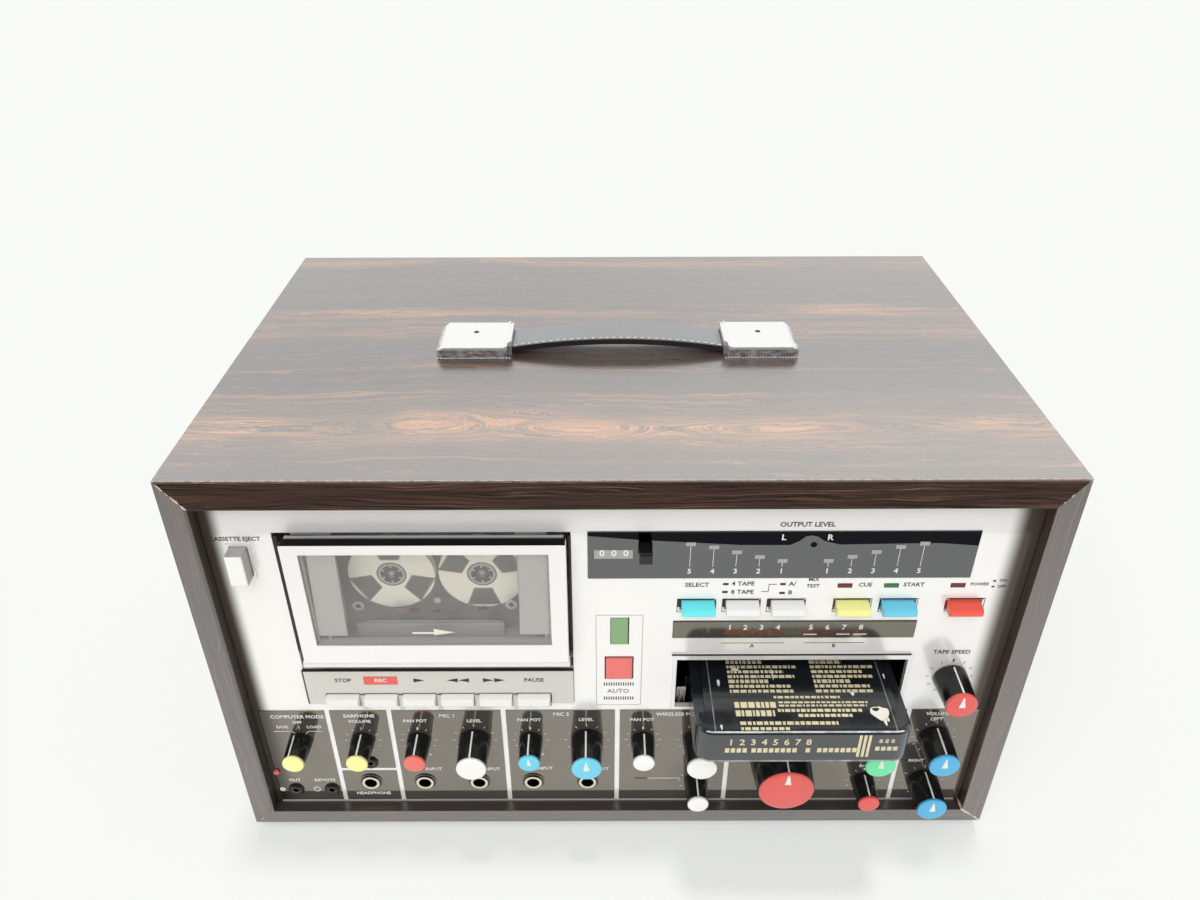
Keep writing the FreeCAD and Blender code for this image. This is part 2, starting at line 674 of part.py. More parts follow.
# ---- Front of the player ----
def knob_places():
    """Name, x, z, style and pointer angle of every knob, the angle clockwise from upright."""
    upper = PANEL_BOTTOM + UPPER_ROW
    lower = PANEL_BOTTOM + LOWER_ROW
    right = PANEL_BOTTOM + RIGHT_ROW
    field = field_centres()
    half = COLUMN_PITCH / 2
    microphones, music, mix = (field[i] + COLUMN_SHIFT for i in (2, 3, 4))
    function_x = field[5] - COLUMN_PITCH / 2 - COLUMN_SHIFT - FUNCTION_NUDGE
    level_x = function_x + FUNCTION_TO_LEVEL
    return [
        ("knob_selector", field[0] + 1.5, upper, "small", -20),
        ("knob_earphone", field[1], upper, "small", 0),
        ("knob_mic_tone", microphones - half, upper, "small", 0),
        ("knob_mic_level", microphones + half, upper, "large", -4),
        ("knob_echo_tone", music - half, upper, "small", -6),
        ("knob_echo_level", music + half, upper, "large", -3),
        ("knob_balance", mix - half, upper, "small", 5),
        ("knob_mix_level", mix + half, upper, "large", 0),
        ("knob_mix_tone", mix + half, lower, "small", 0),
        ("knob_function", function_x, PANEL_BOTTOM + BIG_ROW, "big", 0),
        ("knob_treble", level_x, right, "large", 0),
        ("knob_bass", level_x, lower, "small", 0),
        ("knob_volume_left", field[6] - 2.8, right, "large", 0),
        ("knob_volume_right", field[6] - 2.8, lower, "large", 0),
        ("knob_tape_speed", WALL_RIGHT - SPEED_KNOB_INSET, SLOT_BOTTOM + SPEED_KNOB_RISE, "large", 0),
    ]


def field_spans():
    """Left and right edge of each dark field of the control panel."""
    spans = []
    left = PANEL_LEFT
    for width in FIELD_WIDTHS:
        spans.append((left, left + width))
        left += width + FIELD_LINE
    spans.append((left, PANEL_RIGHT))
    return spans


def field_centres():
    return [(left + right) / 2 for left, right in field_spans()]


def phone_jack_places():
    centres = field_centres()
    half = COLUMN_PITCH / 2
    places = [centres[1]]
    for i in (2, 3):
        places += [centres[i] + COLUMN_SHIFT - half, centres[i] + COLUMN_SHIFT + half]
    return [(x, PANEL_BOTTOM + LOWER_ROW) for x in places]


def mini_jack_places():
    places = [(PANEL_LEFT + x, PANEL_BOTTOM + MINI_ROW) for x in MINI_X]
    return places + [(field_centres()[1] + 1.6, PANEL_BOTTOM + EARPHONE_RISE)]


def power_lamp_place():
    return (WALL_LEFT + POWER_LAMP_INSET, PANEL_BOTTOM + POWER_LAMP_RISE)


def bar_lamp_places():
    places = []
    for name, left, width, proud in PUSH_BUTTONS[3:]:
        places.append((DISPLAY_LEFT + left + width / 2 + BAR_LAMP_SHIFT, BUTTON_SLOT_TOP + BAR_LAMP_RISE))
    return places


def cut_front_holes(shape, y0, y1):
    """Cut the round holes of knobs, jacks and the power lamp through a front layer."""
    cutters = []
    for name, x, z, style, angle in knob_places():
        cutters.append(rod_y(x, z, y0, y1, SHAFT_RADIUS + BUSH_WALL + FIT_GAP))
    for x, z in phone_jack_places():
        cutters.append(rod_y(x, z, y0, y1, PHONE_RING + FIT_GAP))
    for x, z in mini_jack_places():
        cutters.append(rod_y(x, z, y0, y1, MINI_RING + FIT_GAP))
    x, z = power_lamp_place()
    cutters.append(rod_y(x, z, y0, y1, LAMP_RADIUS + FIT_GAP))
    return shape.cut(cutters)


def button_slots():
    """Openings (x0, x1, z0, z1) of the push, square, eject and reset buttons."""
    slots = []
    for name, left, width, proud in PUSH_BUTTONS:
        x0 = DISPLAY_LEFT + left
        slots.append((x0 - BUTTON_PLAY, x0 + width + BUTTON_PLAY, BUTTON_SLOT_BOTTOM, BUTTON_SLOT_TOP))
    x0, x1, z0, z1 = square_button_rect()
    slots.append((x0 - SEAT_GAP, x1 + SEAT_GAP, z0 - SEAT_GAP, z1 + SEAT_GAP))
    x0, x1, z0, z1 = eject_rect()
    slots.append((x0 - SEAT_GAP, x1 + SEAT_GAP, z0 - SEAT_GAP, z1 + SEAT_GAP))
    return slots


def square_button_rect():
    z0 = PANEL_TOP + SQUARE_RISE
    return (COLUMN_X - SQUARE_WIDTH / 2, COLUMN_X + SQUARE_WIDTH / 2, z0, z0 + SQUARE_HEIGHT)


def eject_rect():
    x1 = BAY_LEFT - EJECT_GAP
    z1 = BAY_TOP - EJECT_DROP
    return (x1 - EJECT_WIDTH, x1, z1 - EJECT_HEIGHT, z1)


def reset_rect():
    x0 = DISPLAY_LEFT + RESET_INSET
    z1 = DISPLAY_TOP - RESET_DROP
    return (x0, x0 + RESET_WIDTH, z1 - RESET_HEIGHT, z1)


def lens_rect():
    z0 = PANEL_TOP + LENS_RISE
    return (COLUMN_X - LENS_WIDTH / 2, COLUMN_X + LENS_WIDTH / 2, z0, z0 + LENS_HEIGHT)


def slot_mouth():
    return (SLOT_LEFT, SLOT_RIGHT, SLOT_BOTTOM, SLOT_TOP)


def strip_rect():
    x0 = DISPLAY_LEFT + STRIP_INSET
    return (x0, x0 + STRIP_WIDTH, STRIP_BOTTOM, STRIP_TOP)


def grown(rect, gap):
    return (rect[0] - gap, rect[1] + gap, rect[2] - gap, rect[3] + gap)


def slab(rect, y0, y1):
    return block(rect[0], rect[1], y0, y1, rect[2], rect[3])


def faceplate():
    plate = slab((WALL_LEFT + FIT_GAP, WALL_RIGHT - FIT_GAP, BOARD + FIT_GAP, CEILING - FIT_GAP),
                 FACE_FRONT, FACE_BACK)
    display = (DISPLAY_LEFT, DISPLAY_RIGHT, DISPLAY_BOTTOM, DISPLAY_TOP)
    openings = [
        (BAY_LEFT, BAY_RIGHT, SURROUND_BOTTOM, BAY_TOP),
        (KEYS_LEFT - SEAT_GAP, KEYS_RIGHT + SEAT_GAP, KEY_SLOT_BOTTOM, SURROUND_BOTTOM),
        grown(display, FIT_GAP - GLASS_LEDGE),
        grown(strip_rect(), FIT_GAP - GLASS_LEDGE),
        grown(slot_mouth(), BEZEL_WALL + FIT_GAP),
        grown(lens_rect(), FIT_GAP),
    ] + button_slots()
    for x, z in bar_lamp_places():
        half = BAR_LAMP_WIDTH / 2 + FIT_GAP
        openings.append((x - half, x + half, z - FIT_GAP, z + BAR_LAMP_HEIGHT + FIT_GAP))
    plate = plate.cut([slab(rect, FACE_FRONT, FACE_BACK) for rect in openings])
    rebates = [grown(display, FIT_GAP), grown(strip_rect(), FIT_GAP)]
    seat = FACE_FRONT + GLASS_THICKNESS - GLASS_PROUD
    plate = plate.cut([slab(rect, FACE_FRONT, seat) for rect in rebates])
    return cut_front_holes(plate, FACE_FRONT, FACE_BACK)


def control_fields():
    """Glossy dark fields on the faceplate, each a thin plate."""
    fields = []
    for i, (left, right) in enumerate(field_spans()):
        if i == 1:
            split = PANEL_BOTTOM + JACK_FIELD_HEIGHT
            fields.append(block(left, right, FIELD_FRONT, FACE_FRONT, PANEL_BOTTOM, split))
            fields.append(block(left, right, FIELD_FRONT, FACE_FRONT, split + FIELD_LINE, PANEL_TOP))
        else:
            fields.append(block(left, right, FIELD_FRONT, FACE_FRONT, PANEL_BOTTOM, PANEL_TOP))
    return [cut_front_holes(field, FIELD_FRONT, FACE_FRONT) for field in fields]


def display_windows():
    front = FACE_FRONT - GLASS_PROUD
    glass = block(DISPLAY_LEFT, DISPLAY_RIGHT, front, front + GLASS_THICKNESS, DISPLAY_BOTTOM, DISPLAY_TOP)
    glass = glass.cut(slab(grown(reset_rect(), SEAT_GAP), front, front + GLASS_THICKNESS))
    return [glass, slab(strip_rect(), front, front + GLASS_THICKNESS)]


def slot_bezel():
    """Bright frame round the cartridge slot, with a sleeve that lines the mouth."""
    outer = (SLOT_LEFT - BEZEL_SIDE, SLOT_RIGHT + BEZEL_SIDE, SLOT_BOTTOM - BEZEL_SILL, BEZEL_TOP)
    front = FACE_FRONT - BEZEL_PROUD
    ring = frame_block(outer, slot_mouth(), front, FACE_FRONT)
    sleeve = frame_block(grown(slot_mouth(), BEZEL_WALL), slot_mouth(), front, FACE_BACK)
    return ring.fuse(sleeve).removeSplitter()


def key_surround():
    front = FACE_FRONT - SURROUND_PROUD
    outer = (BAY_LEFT + FIT_GAP, BAY_RIGHT - FIT_GAP, SURROUND_BOTTOM + FIT_GAP, SURROUND_TOP)
    panel = slab(outer, front, FACE_BACK)
    keys = (KEYS_LEFT - 2 * SEAT_GAP, KEYS_RIGHT + 2 * SEAT_GAP, SURROUND_BOTTOM, KEY_TOP + SEAT_GAP)
    return panel.cut(slab(keys, front, FACE_BACK))


def lamps():
    found = []
    x, z = power_lamp_place()
    found.append(rod_y(x, z, FIELD_FRONT - 1.0, FACE_BACK + LAMP_DEPTH, LAMP_RADIUS))
    for x, z in bar_lamp_places():
        half = BAR_LAMP_WIDTH / 2
        found.append(block(x - half, x + half, FACE_FRONT - 0.4, FACE_BACK + LAMP_DEPTH, z, z + BAR_LAMP_HEIGHT))
    found.append(slab(lens_rect(), FACE_FRONT - 0.5, FACE_BACK + LAMP_DEPTH))
    return found


def jack(x, z, bore, ring, washer, depth, body):
    """Socket with a threaded ring, a front washer and a square body behind the face."""
    front = FIELD_FRONT - WASHER_THICKNESS
    half = body / 2
    shape = rod_y(x, z, front - RING_THICKNESS, FACE_BACK, ring)
    shape = shape.fuse(rod_y(x, z, front, FIELD_FRONT, washer))
    shape = shape.fuse(block(x - half, x + half, FACE_BACK, FACE_BACK + depth, z - half, z + half))
    return shape.cut(rod_y(x, z, front - RING_THICKNESS, FACE_BACK + depth - SHEET, bore))


def jacks():
    found = []
    for x, z in phone_jack_places():
        found.append(jack(x, z, PHONE_BORE, PHONE_RING, PHONE_WASHER, PHONE_DEPTH, PHONE_BODY))
    for x, z in mini_jack_places():
        found.append(jack(x, z, MINI_BORE, MINI_RING, MINI_WASHER, MINI_DEPTH, MINI_BODY))
    return found


# ---- Knobs and buttons ----
def knob(x, z, style, angle):
    """Tapered knob with a recessed cap seat, an indicator groove and its shaft."""
    base, tip, length = KNOB_STYLES[style]
    front = KNOB_BACK - length
    profile = [
        (0, KNOB_BACK), (base, KNOB_BACK), (base, KNOB_BACK - 2), (tip, front + KNOB_BEVEL),
        (tip - KNOB_BEVEL, front), (tip - KNOB_BEVEL - CAP_RIM, front),
        (tip - KNOB_BEVEL - CAP_RIM, front + CAP_RECESS), (0, front + CAP_RECESS),
    ]
    body = revolve_y(profile, x, z)
    half = POINTER_WIDTH / 2
    groove = block(x - half, x + half, front, KNOB_BACK - 1, z + tip - POINTER_DEPTH, z + base)
    groove.rotate(Vector(x, 0, z), Vector(0, 1, 0), angle)
    body = body.cut(groove)
    return body.fuse(rod_y(x, z, KNOB_BACK, KNOB_BACK + SHAFT_REACH, SHAFT_RADIUS))


def button_stem(rect):
    """Flat stem behind the middle of a cap."""
    back = FACE_BACK + BUTTON_REAR
    x, z = (rect[0] + rect[1]) / 2, (rect[2] + rect[3]) / 2
    half, high = BUTTON_STEM_WIDTH / 2, BUTTON_STEM_HEIGHT / 2
    half = min(half, (rect[1] - rect[0]) / 2 - BUTTON_EDGE)
    return block(x - half, x + half, back, back + BUTTON_STEM, z - high, z + high)


def push_cap(rect, proud, face):
    """Button cap with softened front edges and a stem."""
    front = face - proud
    cap = slab(rect, front, FACE_BACK + BUTTON_REAR)
    near = [edge for edge in cap.Edges if edge.BoundBox.YMax < front + 0.01]
    return cap.makeFillet(BUTTON_EDGE, near).fuse(button_stem(rect))


def push_button(left, width, proud):
    """Cap whose top falls to a rounded nose, and its stem."""
    x0, z0, z1 = DISPLAY_LEFT + left, BUTTON_SLOT_BOTTOM + BUTTON_PLAY, BUTTON_SLOT_TOP - BUTTON_PLAY
    front, back = FACE_FRONT - proud, FACE_BACK + BUTTON_REAR
    side = [(front, z0), (front, z1 - BUTTON_SLOPE), (FACE_FRONT, z1), (back, z1), (back, z0)]
    cap = prism([(x0, y, z) for y, z in side], (width, 0, 0))
    near = [edge for edge in cap.Edges if edge.BoundBox.YMax < front + 0.01]
    nose = [edge for edge in near if edge.CenterOfMass.z > z1 - BUTTON_SLOPE - BUTTON_EDGE]
    cap = cap.makeFillet(BUTTON_NOSE, nose)
    near = [edge for edge in cap.Edges if edge.BoundBox.YMax < front + 0.01]
    foot = [edge for edge in near if edge.CenterOfMass.z < z0 + BUTTON_EDGE]
    cap = cap.makeFillet(BUTTON_EDGE, foot)
    return cap.fuse(button_stem((x0, x0 + width, z0, z1)))


def eject_button():
    return push_cap(eject_rect(), EJECT_PROUD, FACE_FRONT)


def eject_frame():
    rect = eject_rect()
    return frame_block(grown(rect, SEAT_GAP + EJECT_FRAME), grown(rect, SEAT_GAP),
                       FACE_FRONT - EJECT_FRAME_PROUD, FACE_FRONT)


def square_button():
    return push_cap(square_button_rect(), SQUARE_PROUD, FACE_FRONT)


def reset_button():
    return push_cap(reset_rect(), RESET_PROUD, FACE_FRONT - GLASS_PROUD)


def piano_key(i):
    """Key cap on a long arm that turns on the rod behind the face."""
    x0 = KEYS_LEFT + i * KEY_PITCH
    x1 = x0 + KEY_WIDTH
    front, back = FACE_FRONT - KEY_REACH, FACE_BACK + 6
    side = [(front, KEY_BOTTOM), (front, KEY_TOP - KEY_SLOPE), (FACE_FRONT, KEY_TOP),
            (back, KEY_TOP), (back, KEY_BOTTOM)]
    cap = prism([(x0, y, z) for y, z in side], (KEY_WIDTH, 0, 0))
    near = [edge for edge in cap.Edges if edge.BoundBox.YMax < front + 0.01]
    cap = cap.makeFillet(KEY_EDGE, near)
    middle = (x0 + x1) / 2
    pivot = (KEY_PIVOT_Y, KEY_PIVOT_Z)
    top, bottom = pivot[1] + KEY_ARM_HEIGHT / 2, pivot[1] - KEY_ARM_HEIGHT / 2
    arm = block(middle - KEY_ARM / 2, middle + KEY_ARM / 2, back - 3, pivot[0], bottom, top)
    boss = rod_x(pivot[0], pivot[1], middle - KEY_ARM, middle + KEY_ARM, KEY_ARM_HEIGHT / 2)
    arm = arm.fuse(boss).cut(rod_x(pivot[0], pivot[1], x0, x1, KEY_ROD_RADIUS + RUNNING_GAP))
    return cap.fuse(arm).removeSplitter()


# ---- Cassette door ----
def window_rect():
    return (DOOR_LEFT + WINDOW_SIDE, DOOR_RIGHT - WINDOW_SIDE, DOOR_BOTTOM + WINDOW_BOTTOM, DOOR_TOP - WINDOW_TOP)


def door_frame():
    frame = rounded_block(DOOR_LEFT, DOOR_RIGHT, DOOR_FRONT, DOOR_BACK, DOOR_BOTTOM, DOOR_TOP,
                          DOOR_CORNER, (0, 1, 0))
    window = window_rect()
    frame = frame.cut(slab(grown(window, -PANE_LEDGE), DOOR_FRONT, DOOR_BACK))
    frame = frame.cut(slab(window, DOOR_FRONT, DOOR_FRONT + PANE_THICKNESS + FIT_GAP))
    roof = block(DOOR_LEFT + DOOR_CORNER, DOOR_RIGHT - DOOR_CORNER, DOOR_BACK - PANE_THICKNESS,
                 DOOR_BACK + DOOR_ROOF_DEPTH, DOOR_TOP - DOOR_ROOF, DOOR_TOP)
    pieces = [roof, door_rail()] + door_ears() + door_holder()
    for piece in pieces:
        frame = frame.fuse(piece)
    return frame.removeSplitter()


def door_rail():
    """Half-round rail along the bottom of the door."""
    centre_z = DOOR_BOTTOM - RAIL_HEIGHT / 2
    x0, x1 = DOOR_LEFT - RAIL_OVERHANG, DOOR_RIGHT + RAIL_OVERHANG / 2
    rail = rod_x(DOOR_FRONT + RAIL_HEIGHT / 2, centre_z, x0, x1, RAIL_HEIGHT / 2)
    web = block(x0, x1, DOOR_FRONT + RAIL_HEIGHT / 2, DOOR_BACK, centre_z - RAIL_HEIGHT / 2, DOOR_BOTTOM)
    return rail.fuse(web)


def door_ears():
    """Hinge ears with their pins, behind the two bottom corners."""
    ears = []
    for edge, outward in ((DOOR_LEFT, -1), (DOOR_RIGHT, 1)):
        x0, x1 = sorted((edge, edge - outward * EAR_THICKNESS))
        outline = [(x0, DOOR_BACK - 1, DOOR_BOTTOM), (x0, DOOR_BACK - 1, DOOR_BOTTOM + WINDOW_BOTTOM),
                   (x0, HINGE_Y + EAR_RADIUS, HINGE_Z + 2), (x0, HINGE_Y, HINGE_Z)]
        ear = prism(outline, (EAR_THICKNESS, 0, 0)).fuse(rod_x(HINGE_Y, HINGE_Z, x0, x1, EAR_RADIUS))
        wall = WELL_LEFT if outward < 0 else WELL_RIGHT
        start, end = sorted((edge, wall + outward * (WELL_WALL - SEAT_GAP)))
        ears.append(ear.fuse(rod_x(HINGE_Y, HINGE_Z, start, end, HINGE_PIN_RADIUS)))
    return ears


def door_holder():
    """Side channels and the bottom pocket that carry the cassette behind the window."""
    front = DOOR_BACK
    face = CASSETTE_FRONT - SEAT_GAP - CHANNEL_WALL
    back = CASSETTE_BACK + SEAT_GAP
    left, right = CASSETTE_X - CASSETTE_WIDTH / 2 - SEAT_GAP, CASSETTE_X + CASSETTE_WIDTH / 2 + SEAT_GAP
    low = window_rect()[2] - 4.0
    pieces = []
    for side, width, outward in ((left, CHANNEL_LEFT, -1), (right, CHANNEL_RIGHT, 1)):
        wall = sorted((side, side + outward * CHANNEL_WALL))
        pieces.append(block(wall[0], wall[1], front - 1, back, low, DOOR_TOP - WINDOW_TOP + 1))
        edge = side + outward * (width - 5.5 if outward < 0 else 2.0)
        flange = sorted((edge, edge - outward * width))
        pieces.append(block(flange[0], flange[1], face, face + CHANNEL_WALL, low, CASSETTE_TOP))
    floor_z = CASSETTE_BOTTOM - SEAT_GAP
    middle = CASSETTE_X - 5.0
    bulge_face = CASSETTE_FRONT - CASSETTE_BULGE - SEAT_GAP
    lip = (middle - LIP_WIDTH / 2, middle + LIP_WIDTH / 2, floor_z - CHANNEL_WALL, floor_z + LIP_HEIGHT - 3)
    pieces.append(slab(lip, bulge_face - CHANNEL_WALL, bulge_face))
    pieces.append(block(left - CHANNEL_WALL, right + CHANNEL_WALL, bulge_face - CHANNEL_WALL, CASSETTE_FRONT + 3,
                        floor_z - CHANNEL_WALL, floor_z))
    pieces.append(block(left - CHANNEL_WALL, right + CHANNEL_WALL, front - 1, bulge_face - CHANNEL_WALL + 1,
                        floor_z - CHANNEL_WALL, floor_z))
    return pieces


def door_window():
    window = grown(window_rect(), -FIT_GAP / 2)
    return slab(window, DOOR_FRONT + 0.1, DOOR_FRONT + 0.1 + PANE_THICKNESS)


# ---- Compact cassette ----
def cassette_shell():
    """Hollow shell with hub holes, capstan holes and an open tape edge."""
    x0, x1 = CASSETTE_X - CASSETTE_WIDTH / 2, CASSETTE_X + CASSETTE_WIDTH / 2
    shell = rounded_block(x0, x1, CASSETTE_FRONT, CASSETTE_BACK, CASSETTE_BOTTOM, CASSETTE_TOP,
                          CASSETTE_CORNER, (0, 1, 0))
    bulge = [(CASSETTE_X - BULGE_BASE / 2, CASSETTE_BOTTOM), (CASSETTE_X + BULGE_BASE / 2, CASSETTE_BOTTOM),
             (CASSETTE_X + BULGE_TOP / 2 + BULGE_FLARE, CASSETTE_BOTTOM + BULGE_HEIGHT),
             (CASSETTE_X - BULGE_TOP / 2 - BULGE_FLARE, CASSETTE_BOTTOM + BULGE_HEIGHT)]
    front = CASSETTE_FRONT - CASSETTE_BULGE
    shell = shell.fuse(prism([(x, front, z) for x, z in bulge], (0, CASSETTE_THICKNESS + 2 * CASSETTE_BULGE, 0)))
    cavity = block(x0 + CASSETTE_WALL, x1 - CASSETTE_WALL, CASSETTE_FRONT + CASSETTE_WALL,
                   CASSETTE_BACK - CASSETTE_WALL, CASSETTE_BOTTOM + HEAD_POCKET, CASSETTE_TOP - CASSETTE_WALL)
    cutters = [cavity]
    for x in (HUB_LEFT_X, HUB_RIGHT_X):
        cutters.append(rod_y(x, HUB_Z, front, CASSETTE_BACK + CASSETTE_BULGE, HUB_HOLE))
    for x in (CASSETTE_X - CAPSTAN_SIDE, CAPSTAN_X):
        cutters.append(rod_y(x, CAPSTAN_Z, front, CASSETTE_BACK + CASSETTE_BULGE, CAPSTAN_HOLE))
    for shift, width in ((0, HEAD_SLOT), (-SIDE_SLOT_OFFSET, SIDE_SLOT), (SIDE_SLOT_OFFSET, SIDE_SLOT)):
        x = CASSETTE_X + shift
        cutters.append(block(x - width / 2, x + width / 2, CASSETTE_FRONT + CASSETTE_WALL,
                             CASSETTE_BACK - CASSETTE_WALL, CASSETTE_BOTTOM, CASSETTE_BOTTOM + HEAD_POCKET - SLOT_LIP))
    return shell.cut(cutters)


def reel(x):
    """Open-reel style spool: two windowed flanges, a hub and a toothed bore."""
    middle = (CASSETTE_FRONT + CASSETTE_BACK) / 2
    y0, y1 = middle - REEL_THICKNESS / 2, middle + REEL_THICKNESS / 2
    profile = [
        (REEL_BORE, y0), (REEL_RADIUS, y0), (REEL_RADIUS, y0 + REEL_FLANGE), (REEL_HUB + 4, y0 + REEL_FLANGE),
        (REEL_HUB + 4, y1 - REEL_FLANGE), (REEL_RADIUS, y1 - REEL_FLANGE), (REEL_RADIUS, y1), (REEL_BORE, y1),
    ]
    spool = revolve_y(profile, x, HUB_Z)
    for i in range(REEL_WINDOWS):
        turn = 360.0 * i / REEL_WINDOWS + 90
        near, far = REEL_HUB + 5.5, REEL_RADIUS - 2.5
        window = prism([(x + near, y0, HUB_Z - 3.2), (x + far, y0, HUB_Z - 5.6),
                        (x + far, y0, HUB_Z + 5.6), (x + near, y0, HUB_Z + 3.2)], (0, REEL_THICKNESS, 0))
        window.rotate(Vector(x, 0, HUB_Z), Vector(0, 1, 0), turn)
        spool = spool.cut(window)
    for i in range(REEL_TEETH):
        tooth = block(x + REEL_BORE - REEL_TOOTH, x + REEL_BORE + 1, y0, y1, HUB_Z - 0.5, HUB_Z + 0.5)
        tooth.rotate(Vector(x, 0, HUB_Z), Vector(0, 1, 0), 360.0 * i / REEL_TEETH)
        spool = spool.fuse(tooth)
    return spool.removeSplitter()


def spindle(x):
    """Drive spindle: splined tip, reel table, shaft and the pulley behind the chassis."""
    tip = CASSETTE_BACK - SPINDLE_REACH
    table = CASSETTE_BACK + CASSETTE_BULGE + SEAT_GAP
    pulley = PLATE_BACK + BEARING_LENGTH + SEAT_GAP
    shape = rod_y(x, HUB_Z, tip, pulley + PULLEY_WIDTH, SPINDLE_RADIUS)
    shape = shape.fuse(Part.makeCone(0.6, SPINDLE_TIP_RADIUS, 2.0, Vector(x, tip - 2.0, HUB_Z), Vector(0, 1, 0)))
    shape = shape.fuse(rod_y(x, HUB_Z, tip, table, SPINDLE_TIP_RADIUS))
    for i in range(3):
        fin = block(x, x + SPINDLE_FIN, tip, table, HUB_Z - 0.5, HUB_Z + 0.5)
        fin.rotate(Vector(x, 0, HUB_Z), Vector(0, 1, 0), 120.0 * i + 30)
        shape = shape.fuse(fin)
    shape = shape.fuse(rod_y(x, HUB_Z, table, table + 2.0, SPINDLE_TABLE))
    shape = shape.fuse(rod_y(x, HUB_Z, pulley, pulley + PULLEY_WIDTH, PULLEY_RADIUS))
    return shape.removeSplitter()


def cassette_capstan():
    tip = CASSETTE_BACK - CAPSTAN_REACH
    wheel = PLATE_BACK + BEARING_LENGTH + SEAT_GAP + PULLEY_WIDTH + 1.0
    shaft = rod_y(CAPSTAN_X, CAPSTAN_Z, tip, wheel, CAPSTAN_RADIUS)
    return shaft.fuse(rod_y(CAPSTAN_X, CAPSTAN_Z, wheel, wheel + FLYWHEEL_WIDTH, FLYWHEEL_RADIUS))


# ---- Cassette well ----
def cassette_well():
    """Moulded compartment behind the bay, open at the front."""
    outer = (WELL_LEFT - WELL_WALL, WELL_RIGHT + WELL_WALL, WELL_FLOOR, BAY_TOP + 1.0 + WELL_WALL)
    inner = grown(outer, -WELL_WALL)
    well = slab(outer, FACE_BACK, PLATE_FRONT)
    cutters = [slab(inner, FACE_BACK, WELL_BACK)]
    for x in (HUB_LEFT_X, HUB_RIGHT_X):
        cutters.append(rod_y(x, HUB_Z, WELL_BACK, PLATE_FRONT, SPINDLE_TABLE + 0.6))
    cutters.append(rod_y(CAPSTAN_X, CAPSTAN_Z, WELL_BACK, PLATE_FRONT, CAPSTAN_RADIUS + 1.5))
    cutters.append(rod_x(HINGE_Y, HINGE_Z, outer[0], outer[1], HINGE_PIN_RADIUS + RUNNING_GAP))
    return well.cut(cutters)


def tape_heads():
    """Record head, erase head and pinch roller under the cassette, and the 8-track head."""
    top = CASSETTE_BOTTOM - HEAD_DROP - SEAT_GAP - CHANNEL_WALL
    back = WELL_BACK
    front = CASSETTE_FRONT + 5.0
    base = block(CASSETTE_X - HEAD_BASE_REACH, CAPSTAN_X + ROLLER_RADIUS, front, back, top - HEAD_HEIGHT - 2, top - HEAD_HEIGHT)
    head = rounded_block(CASSETTE_X - HEAD_WIDTH / 2, CASSETTE_X + HEAD_WIDTH / 2, front, back,
                         top - HEAD_HEIGHT, top, 2.0, (0, 1, 0))
    erase = block(CASSETTE_X - ERASE_HEAD_FAR, CASSETTE_X - ERASE_HEAD_NEAR, front, back, top - HEAD_HEIGHT, top - 2)
    arm = block(CAPSTAN_X - 1.5, CAPSTAN_X + 1.5, back - 4, back, top - HEAD_HEIGHT, top - ROLLER_RADIUS)
    roller = rod_y(CAPSTAN_X, top - ROLLER_RADIUS, front, back - 4.0, ROLLER_RADIUS)
    x = CARTRIDGE_X
    y = TRAY_BACK + TRAY_WALL
    track_head = rounded_block(x - TRACK_HEAD_WIDTH / 2, x + TRACK_HEAD_WIDTH / 2, y, y + TRACK_HEAD_DEPTH,
                               DECK_TOP, DECK_TOP + TRACK_HEAD_HEIGHT, 2.0, (0, 0, 1))
    return [base.fuse([head, erase, arm, roller]), track_head]


# ---- Cartridge, tray and 8-track drive ----
def cartridge():
    x0, x1 = CARTRIDGE_X - CARTRIDGE_WIDTH / 2, CARTRIDGE_X + CARTRIDGE_WIDTH / 2
    body = block(x0, x1, -CARTRIDGE_REACH, CARTRIDGE_END, CARTRIDGE_BOTTOM, CARTRIDGE_TOP)
    outer_corners = [edge for edge in edges_along(body, (0, 0, 1)) if edge.CenterOfMass.y < 0]
    body = body.makeFillet(CARTRIDGE_CORNER, outer_corners)
    rim = [edge for edge in body.Edges
           if edge.BoundBox.ZMin > CARTRIDGE_TOP - 0.01 and edge.CenterOfMass.y < CARTRIDGE_END - 1]
    body = body.makeFillet(CARTRIDGE_EDGE, rim)
    step_z = CARTRIDGE_TOP - CARTRIDGE_STEP_DROP
    front = CARTRIDGE_CORNER + 4 - CARTRIDGE_REACH
    cutters = [
        block(x0 - 1, x0 + CARTRIDGE_STEP_WIDTH, front, CARTRIDGE_END, step_z, CARTRIDGE_TOP),
        block(x1 - CARTRIDGE_STEP_WIDTH, x1 + 1, front, CARTRIDGE_END, step_z, CARTRIDGE_TOP),
        block(CARTRIDGE_X - CARTRIDGE_WINDOW / 2, CARTRIDGE_X + CARTRIDGE_WINDOW / 2,
              CARTRIDGE_END - CARTRIDGE_WINDOW_DEPTH, CARTRIDGE_END,
              CARTRIDGE_BOTTOM + CARTRIDGE_SKIN, CARTRIDGE_TOP - CARTRIDGE_SKIN),
        block(TRACK_CAPSTAN_X - CARTRIDGE_NOTCH / 2, TRACK_CAPSTAN_X + CARTRIDGE_NOTCH / 2,
              CARTRIDGE_END - CARTRIDGE_NOTCH_DEPTH, CARTRIDGE_END,
              CARTRIDGE_BOTTOM, CARTRIDGE_TOP - CARTRIDGE_SKIN - CARTRIDGE_STEP_DROP),
    ]
    return body.cut(cutters)


